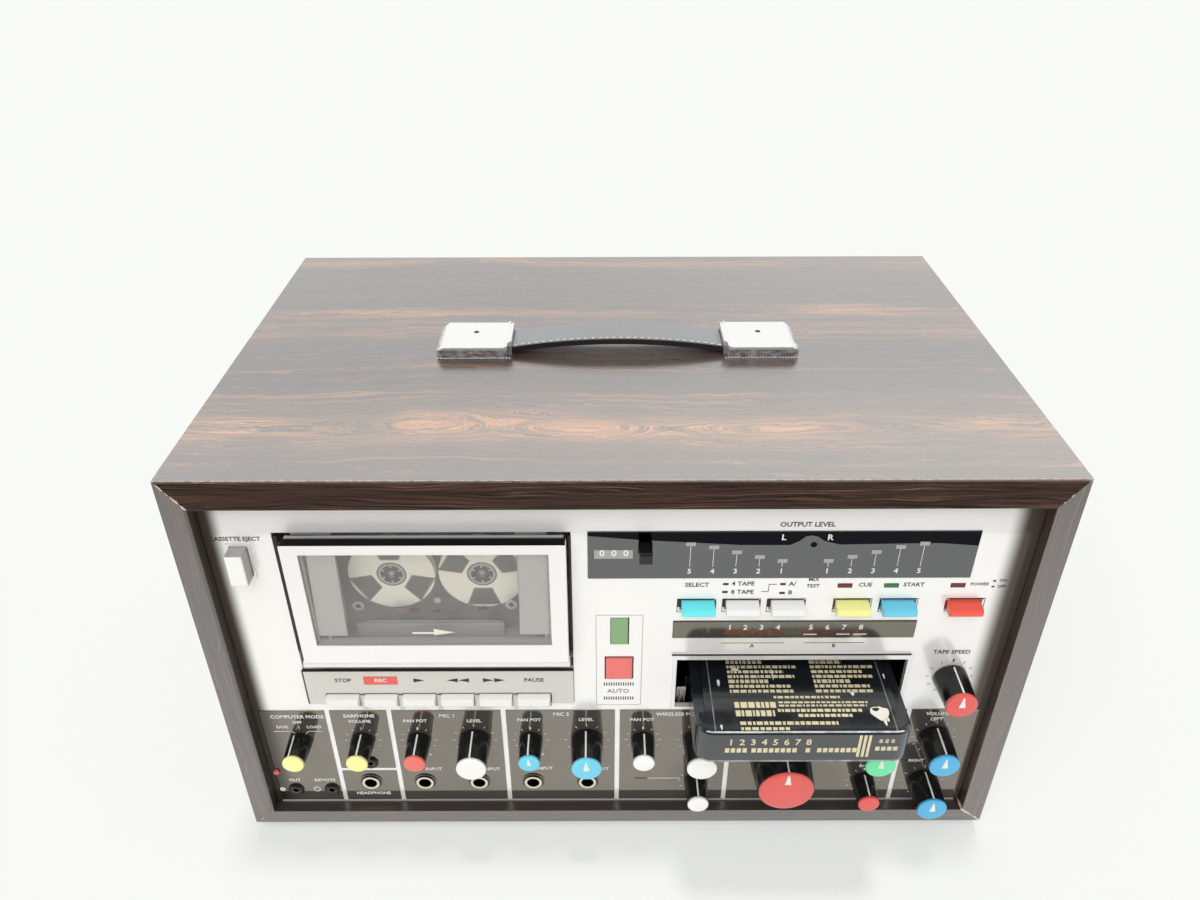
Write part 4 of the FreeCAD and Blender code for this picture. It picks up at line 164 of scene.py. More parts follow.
def rosewood_print_vinyl():
    """Lacquered vinyl printed as rosewood and folded round the boards: semi-gloss, pale where it is rubbed, with a
    painted highlight along the front fold, painted sheen on the top and painted shade on the rim's inner walls.
    """
    made, add, shader, place = start("rosewood_print_vinyl")

    def bell(value, middle, half):
        """One at the middle, falling away over the half width."""
        off = add("MULTIPLY_ADD", value, 1 / half, -middle / half)
        square = add("MULTIPLY", off, off)
        return add("EXPONENT", add("MULTIPLY", square, -1.0))

    def highest(masks):
        """The highest of several masks."""
        return reduce(partial(add, "MAXIMUM"), masks)

    x, y, z = add("SeparateXYZ", place).outputs
    side = add("SUBTRACT", HALF_WIDTH, add("ABSOLUTE", x))
    end = add("MINIMUM", add("SUBTRACT", LID, z), add("SUBTRACT", z, FEET))
    upright = add("LESS_THAN", side, end)
    along = add("Mix", upright, x, z)
    depth = add("Mix", upright, z, x)
    wide = add("MULTIPLY_ADD", depth, 0.9, y)
    level = add("GREATER_THAN", z, LID - 1.0)
    grain_place = add("CombineXYZ", along, wide, 0.0)
    slow = drawn_out(add, grain_place, (0.006, 0.05, 1.0), Detail=3.0, Roughness=0.6)
    # on the top the grain parts round three eyes and closes again between them
    wander = add("MULTIPLY_ADD", slow, 16.0, -8.0)
    offset = add("MULTIPLY_ADD", bell(x, EYES[0][0], 45.0), -5.0, wander)
    ripple = drawn_out(add, grain_place, (0.06, 0.16, 1.0), Detail=2.0)
    offset = add("MULTIPLY_ADD", add("SUBTRACT", ripple, 0.5), 7.0, offset)
    offset = add("ADD", offset, add("ADD", y, 69.5))
    eyes = highest(add("MULTIPLY", bell(x, middle, half), share) for middle, half, share in EYES)
    parted = add("MULTIPLY", add("SUBTRACT", 1.0, eyes), 9.0)
    square = add("MULTIPLY", parted, parted)
    flow = add("SQRT", add("MULTIPLY_ADD", offset, offset, square))
    half_side = add("MapRange", offset, -6.0, 6.0, 0.0, 1.7)
    top_place = add("CombineXYZ", along, flow, half_side)
    other_place = add("CombineXYZ", along, add("ADD", wide, wander), 0.0)
    lines_place = add("Mix", level, other_place, top_place, data_type="VECTOR")
    lines_place = add("VectorMath", lines_place, (0.013, 1.0, 1.0), operation="MULTIPLY")
    fine = add("TexNoise", Vector=lines_place, Scale=1.5, Detail=9.0, Roughness=0.78)
    fibre = drawn_out(add, lines_place, (0.6, 3.1, 1.0), Scale=0.8, Detail=4.0, Roughness=0.7)
    streaks = add("MULTIPLY_ADD", fibre, 0.5, add("MULTIPLY", fine, 0.5))
    base = add("ValToRGB", streaks,
               stops=[(0.36, "#120b09"), (0.45, "#2f1e18"), (0.54, "#503a31"), (0.64, "#a5734f")])
    # pale heartwood: the band of the eyes, thin lines beside it, and patches towards the back
    warm = highest(add("MULTIPLY", bell(offset, middle, half), share) for middle, half, share in HEARTWOOD)
    patch = add("MapRange", drawn_out(add, grain_place, (0.011, 0.045, 1.0), Detail=2.0), 0.40, 0.56, 0.25, 1.0)
    heart = highest(bell(x, middle, half * 0.85) for middle, half, share in EYES)
    heart = add("MULTIPLY", bell(flow, 0.0, 9.5), heart)
    lit = add("MapRange", streaks, 0.44, 0.54, 0.0, 1.0)
    warm = add("MULTIPLY", add("MULTIPLY", warm, patch), lit)
    rings = add("MULTIPLY_ADD", flow, 1.7, add("MULTIPLY", fine, 11.0))
    rings = add("MapRange", add("SINE", rings), -0.9, 0.6, 0.25, 1.0)
    warm = add("MAXIMUM", warm, add("MULTIPLY", heart, rings))
    back_right = add("MULTIPLY", bell(x, 128.0, 34.0), bell(y, 60.0, 8.0))
    back_left = add("MULTIPLY", bell(x, -120.0, 60.0), bell(y, 58.0, 4.0))
    back = add("MULTIPLY", add("MAXIMUM", back_right, back_left), lit)
    warm = add("MULTIPLY", add("MAXIMUM", warm, back), level)
    mixed = add("Mix", warm, base, "#e0985a", **COLOURS)
    lines = drawn_out(add, lines_place, (0.8, 2.2, 1.0), Detail=5.0, Roughness=0.6)
    lined = add("Mix", add("MapRange", lines, 0.54, 0.62, 0.0, 0.65), mixed, "#1c1210", **COLOURS)
    # rubbed places: the mitres of the front rim, most at the lower right; along the fold of the front upper edge a
    # painted highlight
    gap = add("ABSOLUTE", add("SUBTRACT", side, end))
    speck = add("TexNoise", Vector=place, Scale=0.35, Detail=4.0)
    low_right = add("MULTIPLY", add("GREATER_THAN", x, 0.0), add("LESS_THAN", z, 120.0))
    top_left = add("MULTIPLY", add("LESS_THAN", x, 0.0), add("GREATER_THAN", z, 120.0))
    spread = add("MULTIPLY_ADD", low_right, 0.75, add("MULTIPLY_ADD", top_left, 0.45, -0.55))
    reach = add("ADD", add("MapRange", speck, 0.35, 0.65, -0.1, 0.9), spread)
    mitre = add("MULTIPLY", add("LESS_THAN", gap, reach), add("LESS_THAN", y, -105.6))
    front = add("MULTIPLY", add("LESS_THAN", y, -111.1), add("GREATER_THAN", z, LID - 0.28))
    pores = add("TexNoise", Vector=place, Scale=1.4, Detail=2.0)
    pores = add("MULTIPLY", add("GREATER_THAN", pores, 0.71), level)
    pores = add("MULTIPLY", pores, add("LESS_THAN", y, -99.0))
    # painted highlight along the fold of the front upper edge
    painted_fold_highlight = add("MULTIPLY", front, add("MapRange", speck, 0.4, 0.55, 0.1, 0.7))
    wear_and_fold_highlight = highest((mitre, painted_fold_highlight, add("MULTIPLY", pores, 0.4)))
    colour = add("Mix", wear_and_fold_highlight, lined, "#e2cfb2", **COLOURS)
    # painted sheen on the top, more of it towards the front edge and towards the right
    painted_sheen = add("MapRange", y, 20.0, -100.0, 0.0, 0.17, **SMOOTH)
    painted_sheen = add("ADD", painted_sheen, add("MapRange", x, -160.0, 120.0, -0.05, 0.07))
    painted_sheen = add("MAXIMUM", add("MULTIPLY", painted_sheen, level), 0.0)
    colour = add("Mix", painted_sheen, colour, "#e9e0d8", **COLOURS)
    # painted shade on the inner walls of the rim, wider on the left: matt dark brown, without the coat
    left = add("MULTIPLY_ADD", add("LESS_THAN", x, 0.0), -4.3, 15.7)
    shaded_inner_walls = add("MULTIPLY", add("GREATER_THAN", side, left), add("GREATER_THAN", end, 12.9))
    colour = add("Mix", shaded_inner_walls, colour, "#3f3833", **COLOURS)
    coat = add("MULTIPLY", add("MULTIPLY_ADD", level, 0.65, 0.35), add("SUBTRACT", 1.0, shaded_inner_walls))
    rough = add("MapRange", streaks, 0.35, 0.65, 0.24, 0.36)
    give(shader, Base_Color=colour, Roughness=rough, IOR=2.1, Coat_Weight=coat, Coat_Roughness=0.2,
         Coat_IOR=2.5, Normal=uneven(add, streaks, 0.3, 0.04, 0.4))
    return made


def brushed_aluminium(name, colour, shade, rough, metallic=1.0):
    """Aluminium sheet brushed along its length and lacquered: fine level lines, soft reflections."""
    made, add, shader, place = start(name)
    # brush lines a quarter of a millimetre apart, drawn coarser than real so that they show
    brush = drawn_out(add, place, (0.02, 0.3, 2.2), Detail=5.0, Roughness=0.7)
    mix = add("Mix", brush, colour, shade, **COLOURS)
    rough_map = add("MapRange", brush, 0.3, 0.7, rough[0], rough[1])
    give(shader, Base_Color=mix, Roughness=rough_map, Metallic=metallic, Normal=uneven(add, brush, 0.25, 0.01, 0.3))
    return made


def lacquered_faceplate():
    """Clear-lacquered aluminium, faint level brushing, gloss enough to mirror what stands on it, with painted shade
    at both ends.
    """
    made, add, shader, place = start("lacquered_faceplate")
    x, y, z = add("SeparateXYZ", place).outputs
    brush = drawn_out(add, place, (0.02, 0.3, 2.2), Detail=5.0, Roughness=0.7)
    metal = add("Mix", brush, "#fefdfb", "#f8f7f4", **COLOURS)
    # painted shade and reflection of the rim's brown walls at both ends of the plate
    left = add("MapRange", x, -183.6, -176.5, 0.0, 1.0, **SMOOTH)
    right = add("MapRange", x, 180.9, 171.5, 0.0, 1.0, **SMOOTH)
    clear_of_end_shade = add("MULTIPLY", left, right)
    colour = add("Mix", clear_of_end_shade, "#4c4238", metal, **COLOURS)
    # satin towards the upper edge
    satin = add("MapRange", z, 203.0, 208.0, 0.0, 0.25, **SMOOTH)
    rough = add("ADD", satin, add("MapRange", brush, 0.3, 0.7, 0.15, 0.19))
    bump = add("Bump", Strength=0.1, Distance=0.005 * MM, Height=brush)
    give(shader, Base_Color=colour, Roughness=rough, Metallic=0.3, Normal=bump)
    return made


def mirrored_print(name, colour, shade, rough, metallic=1.0):
    """Clear sheet printed dark on a bright foil: reflects like a dim mirror, with faint wipe marks."""
    made, add, shader, place = start(name)
    cloud = add("TexNoise", Vector=place, Scale=1 / 60, Detail=4.0)
    wipe = drawn_out(add, place, (0.03, 0.03, 0.25), Detail=3.0, Distortion=1.0)
    mix = add("Mix", cloud, colour, shade, **COLOURS)
    rough_map = add("MapRange", wipe, 0.4, 0.75, rough[0], rough[1])
    # the left end lies in the shade of the rim
    x = add("SeparateXYZ", place).outputs[0]
    shaded = add("MapRange", x, -184.0, -172.0, 0.78, 0.0, **SMOOTH)
    mix = add("Mix", shaded, mix, "#2a2725", **COLOURS)
    give(shader, Base_Color=mix, Roughness=rough_map, Metallic=metallic)
    return made


def clear_sheet(name, tint, shade, cover, rough):
    """Cast acrylic or styrene a few millimetres thick: clear through, a pale veil on it, hair scratches."""
    made, add, shader, place = start(name)
    haze = add("TexNoise", Vector=place, Scale=0.2, Detail=6.0)
    mix = add("Mix", haze, tint, shade, **COLOURS)
    rough_map = add("MapRange", haze, 0.45, 0.75, rough[0], rough[1])
    give(shader, Base_Color=mix, Roughness=rough_map, IOR=1.5, Alpha=cover)
    return made


def door_plating():
    """Plated door: satin white in front, its roof dark chrome with a painted highlight streak at the back, the
    moulded holder behind grey and black.
    """
    made, add, shader, place = start("plated_door_and_holder")
    x, y, z = add("SeparateXYZ", place).outputs
    behind = add("GREATER_THAN", y, -110.9)
    pane = add("MULTIPLY", add("COMPARE", x, -87.75, 55.8), add("COMPARE", z, 172.4, 27.6))
    behind = add("MAXIMUM", behind, add("MULTIPLY", pane, add("GREATER_THAN", y, -115.3)))
    roof = add("GREATER_THAN", z, 205.2)
    # painted highlight: a bright streak along the back of the roof, next to the plate
    roof_highlight_streak = add("MapRange", y, -111.4, -109.4, 0.0, 1.0, **SMOOTH)
    flange = add("MULTIPLY", add("COMPARE", y, -101.9, 1.1), add("GREATER_THAN", z, 141.4))
    fine = add("TexNoise", Vector=place, Scale=0.9, Detail=3.0)
    bright = add("Mix", fine, "#fdfcfa", "#f6f5f2", **COLOURS)
    dark = add("Mix", fine, "#999795", "#a4a29f", **COLOURS)
    grey = add("Mix", fine, "#c9c7c3", "#bcbab6", **COLOURS)
    roof_chrome_and_highlight = add("Mix", roof_highlight_streak, "#141314", "#cfcac8", **COLOURS)
    inner = add("Mix", flange, dark, grey, **COLOURS)
    colour = add("Mix", behind, bright, inner, **COLOURS)
    colour = add("Mix", roof, colour, roof_chrome_and_highlight, **COLOURS)
    metal = add("MAXIMUM", add("MULTIPLY", add("SUBTRACT", 1.0, behind), 0.2), roof)
    rough = add("MapRange", metal, 0.0, 0.35, 0.45, 0.2)
    give(shader, Base_Color=colour, Roughness=rough, Metallic=metal, Normal=uneven(add, fine, 0.1, 0.01, 0.5))
    return made


def grained_vinyl():
    """Black vinyl with a pebbled leather grain about a millimetre across."""
    made, add, shader, place = start("grained_vinyl")
    cells = add("TexVoronoi", Vector=place, Scale=1.1, feature="SMOOTH_F1")
    drift = add("TexNoise", Vector=place, Scale=0.08, Detail=4.0)
    mix = add("Mix", drift, "#3c4043", "#5f6468", **COLOURS)
    # painted shade along the front edge below the stitches, where the strap would roll over
    y = add("SeparateXYZ", place).outputs[1]
    painted_edge_shade = add("LESS_THAN", y, 7.3)
    mix = add("Mix", painted_edge_shade, mix, "#0d0e0f", **COLOURS)
    coat = add("MULTIPLY_ADD", painted_edge_shade, -0.7, 1.0)
    rough = add("MapRange", drift, 0.3, 0.7, 0.3, 0.42)
    bump = add("Bump", Strength=0.5, Distance=0.06 * MM, Height=cells)
    give(shader, Base_Color=mix, Roughness=rough, IOR=2.3, Coat_Weight=coat, Coat_Roughness=0.2, Coat_IOR=2.3,
         Normal=bump)
    return made


def chromed_brackets():
    """Chromed zinc caps: a painted white reflection on top, the flattened sides painted a mottled grey as their
    darker reflection.
    """
    made, add, shader, place = start("chromed_brackets")
    z = add("SeparateXYZ", place).outputs[2]
    mottle = drawn_out(add, place, (0.25, 0.25, 0.6), Detail=5.0)
    # painted reflection: white on top, mottled grey on the sides below
    below = add("MapRange", z, 242.6, 241.4, 0.0, 1.0, **SMOOTH)
    grey = add("ValToRGB", mottle, stops=[(0.32, "#7f7f80"), (0.5, "#b9b9ba"), (0.68, "#e8e8e9")])
    colour = add("Mix", below, "#fbfbfa", grey, **COLOURS)
    give(shader, Base_Color=colour, Roughness=0.15, Metallic=0.6, Normal=add("Bevel", Radius=0.9 * MM, samples=4))
    return made


def proud_button():
    """Gloss ABS push button, white in front, its top and sides painted grey as shade."""
    made, add, shader, place = start("white_abs_with_painted_side_shade")
    y = add("SeparateXYZ", place).outputs[1]
    # painted shade: the top and sides behind the white front are grey
    behind = add("GREATER_THAN", y, -115.4)
    drift = add("TexNoise", Vector=place, Scale=1 / 12, Detail=3.0)
    grey = add("Mix", drift, "#b7b6b2", "#a9a8a4", **COLOURS)
    colour = add("Mix", behind, "#f6f6f3", grey, **COLOURS)
    give(shader, Base_Color=colour, Roughness=0.2, Normal=add("Bevel", Radius=0.6 * MM, samples=4))
    return made


def jack_nickel():
    """Jack bodies: the large ones ringed in warm nickel, the small ones moulded in black."""
    made, add, shader, place = start("nickel_and_black_jacks")
    x, y, z = add("SeparateXYZ", place).outputs
    large = add("MULTIPLY", add("COMPARE", z, 37.8, 6.5), add("GREATER_THAN", x, -141.0))
    wear = add("TexNoise", Vector=place, Scale=0.8, Detail=3.0)
    nickel = add("Mix", wear, "#f3ecd6", "#e2d9bc", **COLOURS)
    colour = add("Mix", large, "#161616", nickel, **COLOURS)
    give(shader, Base_Color=colour, Roughness=0.18, Metallic=large, Normal=add("Bevel", Radius=0.3 * MM, samples=4))
    return made


def rubbed_cartridge():
    """Gloss blue-black ABS, handled until it shows grey rubs, with painted highlights along its front edges and ribs.
    """
    made, add, shader, place = start("rubbed_black_abs")
    drift = add("TexNoise", Vector=place, Scale=0.05, Detail=5.0)
    base = add("Mix", drift, "#14171b", "#262a2f", **COLOURS)
    scuff = drawn_out(add, place, (0.5, 0.12, 0.5), Detail=8.0, Roughness=0.8)
    rub = add("MapRange", scuff, 0.64, 0.76, 0.0, 0.35)
    colour = add("Mix", rub, base, "#6d7478", **COLOURS)
    # painted highlights along the front edges and on the two ribs that run back over the top
    x, y, z = add("SeparateXYZ", place).outputs
    nose_highlight = add("MULTIPLY", add("LESS_THAN", y, -142.0), add("COMPARE", z, 116.25, 0.3))
    chin_highlight = add("MULTIPLY", add("LESS_THAN", y, -142.0), add("LESS_THAN", z, 97.6))
    ribs = add("MAXIMUM", add("COMPARE", x, 44.0, 0.25), add("COMPARE", x, 128.6, 0.25))
    ribs = add("MULTIPLY", ribs, add("GREATER_THAN", z, 116.6))
    glint = add("MapRange", add("TexNoise", Vector=place, Scale=0.12, Detail=4.0), 0.35, 0.6, 0.35, 1.0)
    edges = add("MAXIMUM", nose_highlight, add("MULTIPLY", chin_highlight, 0.5))
    edges = add("MULTIPLY", add("MAXIMUM", edges, add("MULTIPLY", ribs, 0.4)), glint)
    colour = add("Mix", edges, colour, "#d6d9dc", **COLOURS)
    rough = add("MapRange", scuff, 0.35, 0.7, 0.09, 0.24)
    give(shader, Base_Color=colour, Roughness=rough, IOR=1.9, Normal=uneven(add, scuff, 0.2, 0.03, 0.5))
    return made


def circuit_laminate():
    """Brown phenolic board with a tinned track pattern about two millimetres wide."""
    made, add, shader, place = start("phenolic_board")
    cells = add("TexVoronoi", Vector=place, Scale=0.2, distance="MANHATTAN")
    mix = add("ValToRGB", cells, stops=[(0.2, "#6b4a24"), (0.35, "#8a6a38"), (0.6, "#5a3d1d")])
    give(shader, Base_Color=mix, Roughness=0.5)
    return made


def lamp_lenses():
    """Ribbed acrylic lenses, unlit: power lamp red, large lens green, bar lamps deep red, green, deep red."""
    made, add, shader, place = start("ribbed_acrylic_lenses")
    x = add("SeparateXYZ", place).outputs[0]
    ribs = add("TexWave", Vector=place, Scale=0.3, Distortion=0.4, bands_direction="Z")
    colour = add("Mix", ribs, "#e2705c", "#cf5b49", **COLOURS)
    for middle, half, light, deep in ((0.0, 12.0, "#93b487", "#7fa675"), (103.8, 6.0, "#7c2f29", "#641f1c"),
                                      (125.3, 6.0, "#3f7b4a", "#2f6a3c"), (156.1, 6.0, "#7c2f29", "#641f1c")):
        here = add("COMPARE", x, middle, half)
        tint = add("Mix", ribs, light, deep, **COLOURS)
        colour = add("Mix", here, colour, tint, **COLOURS)
    give(shader, Base_Color=colour, Roughness=0.2, Normal=add("Bevel", Radius=0.3 * MM, samples=4))
    return made


finish = {
    "cabinet_shell": rosewood_print_vinyl(),
    "back_panel": moulded("hardboard", "#4a3527", "#3a291e", (0.6, 0.75), grain=1.2, relief=0.05),
    "rubber_feet": moulded("moulded_rubber", "#1a1a1a", "#242424", (0.6, 0.75)),
    "handle_brackets": chromed_brackets(),
    "handle_strap": grained_vinyl(),
    "faceplate": lacquered_faceplate(),
    "control_overlay": mirrored_print("dark_foil_print", "#8f8980", "#857f76", (0.03, 0.07), 0.75),
    "display_windows": mirrored_print("smoked_display", "#737374", "#6b6b6c", (0.03, 0.05)),
    "slot_bezel": brushed_aluminium("bright_trim", "#fbfaf8", "#f2f0ec", (0.12, 0.2), 0.35),
    "key_surround": moulded("satin_white_abs", "#dbd8d2", "#d2cec7", (0.3, 0.4)),
    "cassette_well": moulded("matt_grey_abs", "#8f8d8a", "#999794", (0.5, 0.65)),
    "cartridge_tray": brushed_aluminium("zinc_plated_tray", "#3c3a38", "#2a2927", (0.4, 0.55)),
    "chassis_plate": brushed_aluminium("zinc_plated_chassis", "#a9a698", "#8f8b7c", (0.35, 0.5)),
    "circuit_boards": circuit_laminate(),
    "transformer": moulded("varnished_laminations", "#33302c", "#45403a", (0.4, 0.6), metallic=0.4),
    "motors": brushed_aluminium("drawn_motor_cans", "#a3a3a2", "#8b8b8a", (0.3, 0.4)),
    "tape_heads": brushed_aluminium("polished_heads", "#b9b8b5", "#a3a29f", (0.15, 0.25)),
    "rear_terminals": moulded("plated_terminals", "#c9c8c4", "#b4b3ae", (0.2, 0.3), metallic=1.0),
    "jacks": jack_nickel(),
    "cassette_shell": clear_sheet("clear_styrene", "#dcdbd8", "#cfceca", 0.06, (0.05, 0.12)),
    "door_frame": door_plating(),
    "door_window": clear_sheet("smoked_acrylic", "#eceae5", "#e2e0db", 0.1, (0.02, 0.06)),
    "cartridge": rubbed_cartridge(),
    "indicator_lamps": lamp_lenses(),
}
gloss = partial(moulded, rough=(0.15, 0.25), edge=0.8)
printed = partial(moulded, rough=(0.4, 0.5))
reel_gold = moulded("anodised_reel", "#fffdf0", "#fbf5de", (0.25, 0.4))
ground_steel = brushed_aluminium("ground_steel_shaft", "#b6b6b5", "#a0a09f", (0.15, 0.25))
black_abs = moulded("gloss_black_abs", "#141415", "#1e1e1f", (0.12, 0.2), edge=0.5)
hub_grey = moulded("moulded_hub", "#a8a7a3", "#b3b2ae", (0.35, 0.5))
white_abs = gloss("gloss_white_abs", "#fafaf7", "#f4f4f0")
key_abs = moulded("satin_key_abs", "#f6f5f1", "#eeede8", (0.2, 0.3), edge=0.5)
cyan_abs = gloss("gloss_cyan_abs", "#72f2f8", "#68ecf4")
azure_abs = gloss("gloss_azure_abs", "#79d8f2", "#6dd0ee")
yellow_abs = gloss("gloss_yellow_abs", "#fcfba8", "#f9f79e")
red_abs = gloss("gloss_red_abs", "#f86453", "#f25a49")
coral_abs = gloss("gloss_coral_abs", "#f27d74", "#ec736a")
rose_abs = moulded("gloss_rose_abs", "#e9635d", "#e25a54", (0.12, 0.2), edge=0.8)
sky_abs = moulded("gloss_sky_abs", "#5abbe8", "#50b1e0", (0.12, 0.2), edge=0.8)
green_abs = gloss("gloss_green_abs", "#7af0b2", "#6fe8a8")
white_ink = printed("white_ink", "#f4f4f0", "#e9e9e4")
dark_ink = printed("dark_ink", "#2b2927", "#383634")
grey_ink = printed("grey_ink", "#b3b1ad", "#a5a39f")
mid_ink = printed("mid_grey_ink", "#96938c", "#8a8780")
pale_ink = printed("pale_ink", "#d6d3cc", "#cbc8c1")
deep_red_ink = printed("deep_red_ink", "#8f2c26", "#7c231f")
coral_ink = moulded("coral_ink", "#ee6d60", "#e56155", (0.35, 0.45))
cream_ink = moulded("cream_ink", "#ece3c0", "#d2c79f", (0.45, 0.6))
# painted dark reflection, laid across the top of the display
painted_dark_reflection = mirrored_print("painted_room_reflection", "#17191d", "#1c1e22", (0.03, 0.05))
strip_face = moulded("olive_strip", "#817d72", "#79756a", (0.08, 0.14), metallic=0.75)
dark_chrome = moulded("dark_chrome", "#55504d", "#2a2726", (0.12, 0.22), grain=6.0, metallic=1.0)
worn_white = moulded("worn_white", "#f4f1e6", "#ebe6d6", (0.4, 0.6))
window_black = printed("reel_window", "#2a2624", "#35302d")
edge_gold = printed("reel_edge", "#a5824c", "#92703c")
flange_grey = printed("grey_holder_abs", "#b4b2af", "#a9a7a4")
pad_brown = moulded("pressure_pad_brown", "#7d6350", "#6d5443", (0.5, 0.6))
nickel_ring = moulded("warm_nickel_ring", "#efe6c8", "#e2d8b6", (0.2, 0.3))
bead_white = moulded("polished_zinc_beads", "#f6f6f6", "#ebebeb", (0.15, 0.3), metallic=0.3)

finish.update(reel_left=reel_gold, reel_right=reel_gold, spindle_left=hub_grey, spindle_right=hub_grey,
              cassette_capstan=ground_steel, eight_track_capstan=ground_steel, eject_button=proud_button(),
              auto_select_button=coral_abs, push_button_1=cyan_abs, push_button_2=white_abs, push_button_3=white_abs,
              push_button_4=yellow_abs, push_button_5=azure_abs, push_button_6=red_abs)
finish.update((f"piano_key_{i + 1}", key_abs) for i in range(6))
for name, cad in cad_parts.items():
    cad.data.materials.clear()
    cad.data.materials.append(finish.get(name, black_abs))


# ---- Piece helpers, all in millimetres ----
def piece(name, bm, material, body, smooth=False):
    """Turns a bmesh into a piece that rides on a body."""
    bmesh.ops.recalc_face_normals(bm, faces=bm.faces)
    mesh = bpy.data.meshes.new(name)
    bm.to_mesh(mesh)
    bm.free()
    if smooth:
        mesh.shade_smooth()
    made = bpy.data.objects.new(name, mesh)
    mesh.materials.append(material)
    bpy.context.scene.collection.objects.link(made)
    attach(made, body)


def solid(bm, first, last):
    """A closed solid between two rims with the same number of points (x, y, z)."""
    first, last = ([bm.verts.new(at(*point)) for point in rim] for rim in (first, last))
    bm.faces.new(first)
    bm.faces.new(last[::-1])
    for i in range(len(first)):
        j = (i + 1) % len(first)
        bm.faces.new((first[i], last[i], last[j], first[j]))


def outline(bm, points, y0, y1):
    """A closed solid from points (x, z) in order, running from y0 back to y1."""
    solid(bm, [(x, y0, z) for x, z in points], [(x, y1, z) for x, z in points])


def slab(bm, x0, x1, z0, z1, y0, y1):
    """A rectangular outline from its edges."""
    outline(bm, [(x0, z0), (x1, z0), (x1, z1), (x0, z1)], y0, y1)


def around(x, z, r, a):
    """The point at radius r and angle a, in radians clockwise from the top, round the point x, z."""
    return x + r * math.sin(a), z + r * math.cos(a)


def frame_line(bm, x0, x1, z0, z1, line, face):
    """A rectangular outline of the given line width, its outer edges given."""
    for edges in ((x0, x1, z1 - line, z1), (x0, x1, z0, z0 + line), (x0, x0 + line, z0 + line, z1 - line),
                  (x1 - line, x1, z0 + line, z1 - line)):
        slab(bm, *edges, face - INK, face + SUNK)


def bar(bm, x, z, width, height, face, turn=0.0, thick=INK):
    """A printed bar, its middle at x, z, turned clockwise by degrees, standing on the face."""
    c, s = math.cos(math.radians(turn)), math.sin(math.radians(turn))
    corners = [(-width / 2, -height / 2), (width / 2, -height / 2), (width / 2, height / 2), (-width / 2, height / 2)]
    outline(bm, [(x + a * c + b * s, z - a * s + b * c) for a, b in corners], face - thick, face + SUNK)


def ring(bm, x, z, inner, outer, face, steps=32, thick=INK):
    """A printed or turned flat ring."""
    for i in range(steps):
        a0, a1 = 2 * math.pi * i / steps, 2 * math.pi * (i + 1) / steps
        outline(bm, [around(x, z, r, a) for r, a in ((inner, a0), (outer, a0), (outer, a1), (inner, a1))],
                face - thick, face + SUNK)


def lathe(bm, x, z, profile, steps=48):
    """A turned solid about a level axis from front to back, from points (radius, y)."""
    loops = []
    for r, y in profile:
        rim = [around(x, z, r, 2 * math.pi * i / steps) for i in range(steps)] if r > 0 else [(x, z)]
        loops.append([bm.verts.new(at(across, y, up)) for across, up in rim])
    for a, b in zip(loops, loops[1:]):
        for i in range(steps):
            j = i + 1
            corners = (a[i % len(a)], b[i % len(b)], b[j % len(b)], a[j % len(a)])
            bm.faces.new(tuple(dict.fromkeys(corners)))     # a loop on the axis is a single point


def ball(bm, x, y, z, half_sizes, lean=0.0, sides=8, rows=6):
    """A small rounded lump, leaning sideways by radians."""
    place = Matrix.Translation(at(x, y, z)) @ Matrix.Rotation(lean, 4, "Y")
    size = Matrix.Diagonal((*(half * MM for half in half_sizes), 1))
    bmesh.ops.create_uvsphere(bm, u_segments=sides, v_segments=rows, radius=1.0, matrix=place @ size)


def marks(name, material, slot, *rows, body="cabinet"):
    """A piece drawn by several helpers: each row is a helper and what it takes after the bmesh."""
    bm = bmesh.new()
    for helper, *given in rows:
        helper(bm, *given)
    piece(name, bm, material, body)


def front_of(name):
    """The middle of a node's front, from side to side and in height, and how far back it lies."""
    low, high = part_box(name)
    return (low.x + high.x) / 2 / MM, (low.z + high.z) / 2 / MM - FEET, low.y / MM + MIDDLE


def word(bm, text, x, z, height, face):
    """Raised print of a generic word or number, capital letters of the given height."""
    curve = bpy.data.curves.new("word", "FONT")
    curve.body = text
    curve.size = LARGER * height / CAPITAL
    curve.align_x = curve.align_y = "CENTER"
    curve.extrude = INK / 2
    curve.offset = BOLD * curve.size
    curve.resolution_u = 2
    holder = bpy.data.objects.new("word", curve)
    mesh = bpy.data.meshes.new_from_object(holder)
    place = Matrix.Translation(at(x, face - INK / 2 + SUNK, z)) @ Matrix.Rotation(math.pi / 2, 4, "X")
    mesh.transform(place @ Matrix.Scale(MM, 4))
    bm.from_mesh(mesh)
    bpy.data.meshes.remove(mesh)
    bpy.data.objects.remove(holder)
    bpy.data.curves.remove(curve)


# ---- Knobs: caps, pointer lines and the scales round them ----
KNOBS = [
    # node, cap, pointer angle, style, arrow on the cap
    ("knob_selector", yellow_abs, -20, "small", False), ("knob_earphone", yellow_abs, 0, "small", False),
    ("knob_mic_tone", coral_abs, 0, "small", False), ("knob_mic_level", white_abs, -4, "large", False),
    ("knob_echo_tone", azure_abs, -6, "small", True), ("knob_echo_level", azure_abs, -3, "large", True),
    ("knob_balance", white_abs, 5, "small", False), ("knob_mix_level", white_abs, 0, "large", False),
    ("knob_mix_tone", white_abs, 0, "small", False), ("knob_function", rose_abs, 0, "big", True),
    ("knob_treble", green_abs, 0, "large", True), ("knob_bass", rose_abs, 0, "small", False),
    ("knob_volume_left", sky_abs, 0, "large", True), ("knob_volume_right", sky_abs, 0, "large", True),
    ("knob_tape_speed", rose_abs, 0, "large", True),
]
STYLES = {"small": (6.2, 5.4, 15.3), "large": (8.4, 7.5, 18.7), "big": (16.0, 14.6, 18.7)}  # foot, end, length
SLEEVE = 1.5        # how far a cap reaches back over its knob
SKIRT = 1.9         # where the pointer lines end at the back
POINTER = 0.84      # width of a pointer line
places = {}
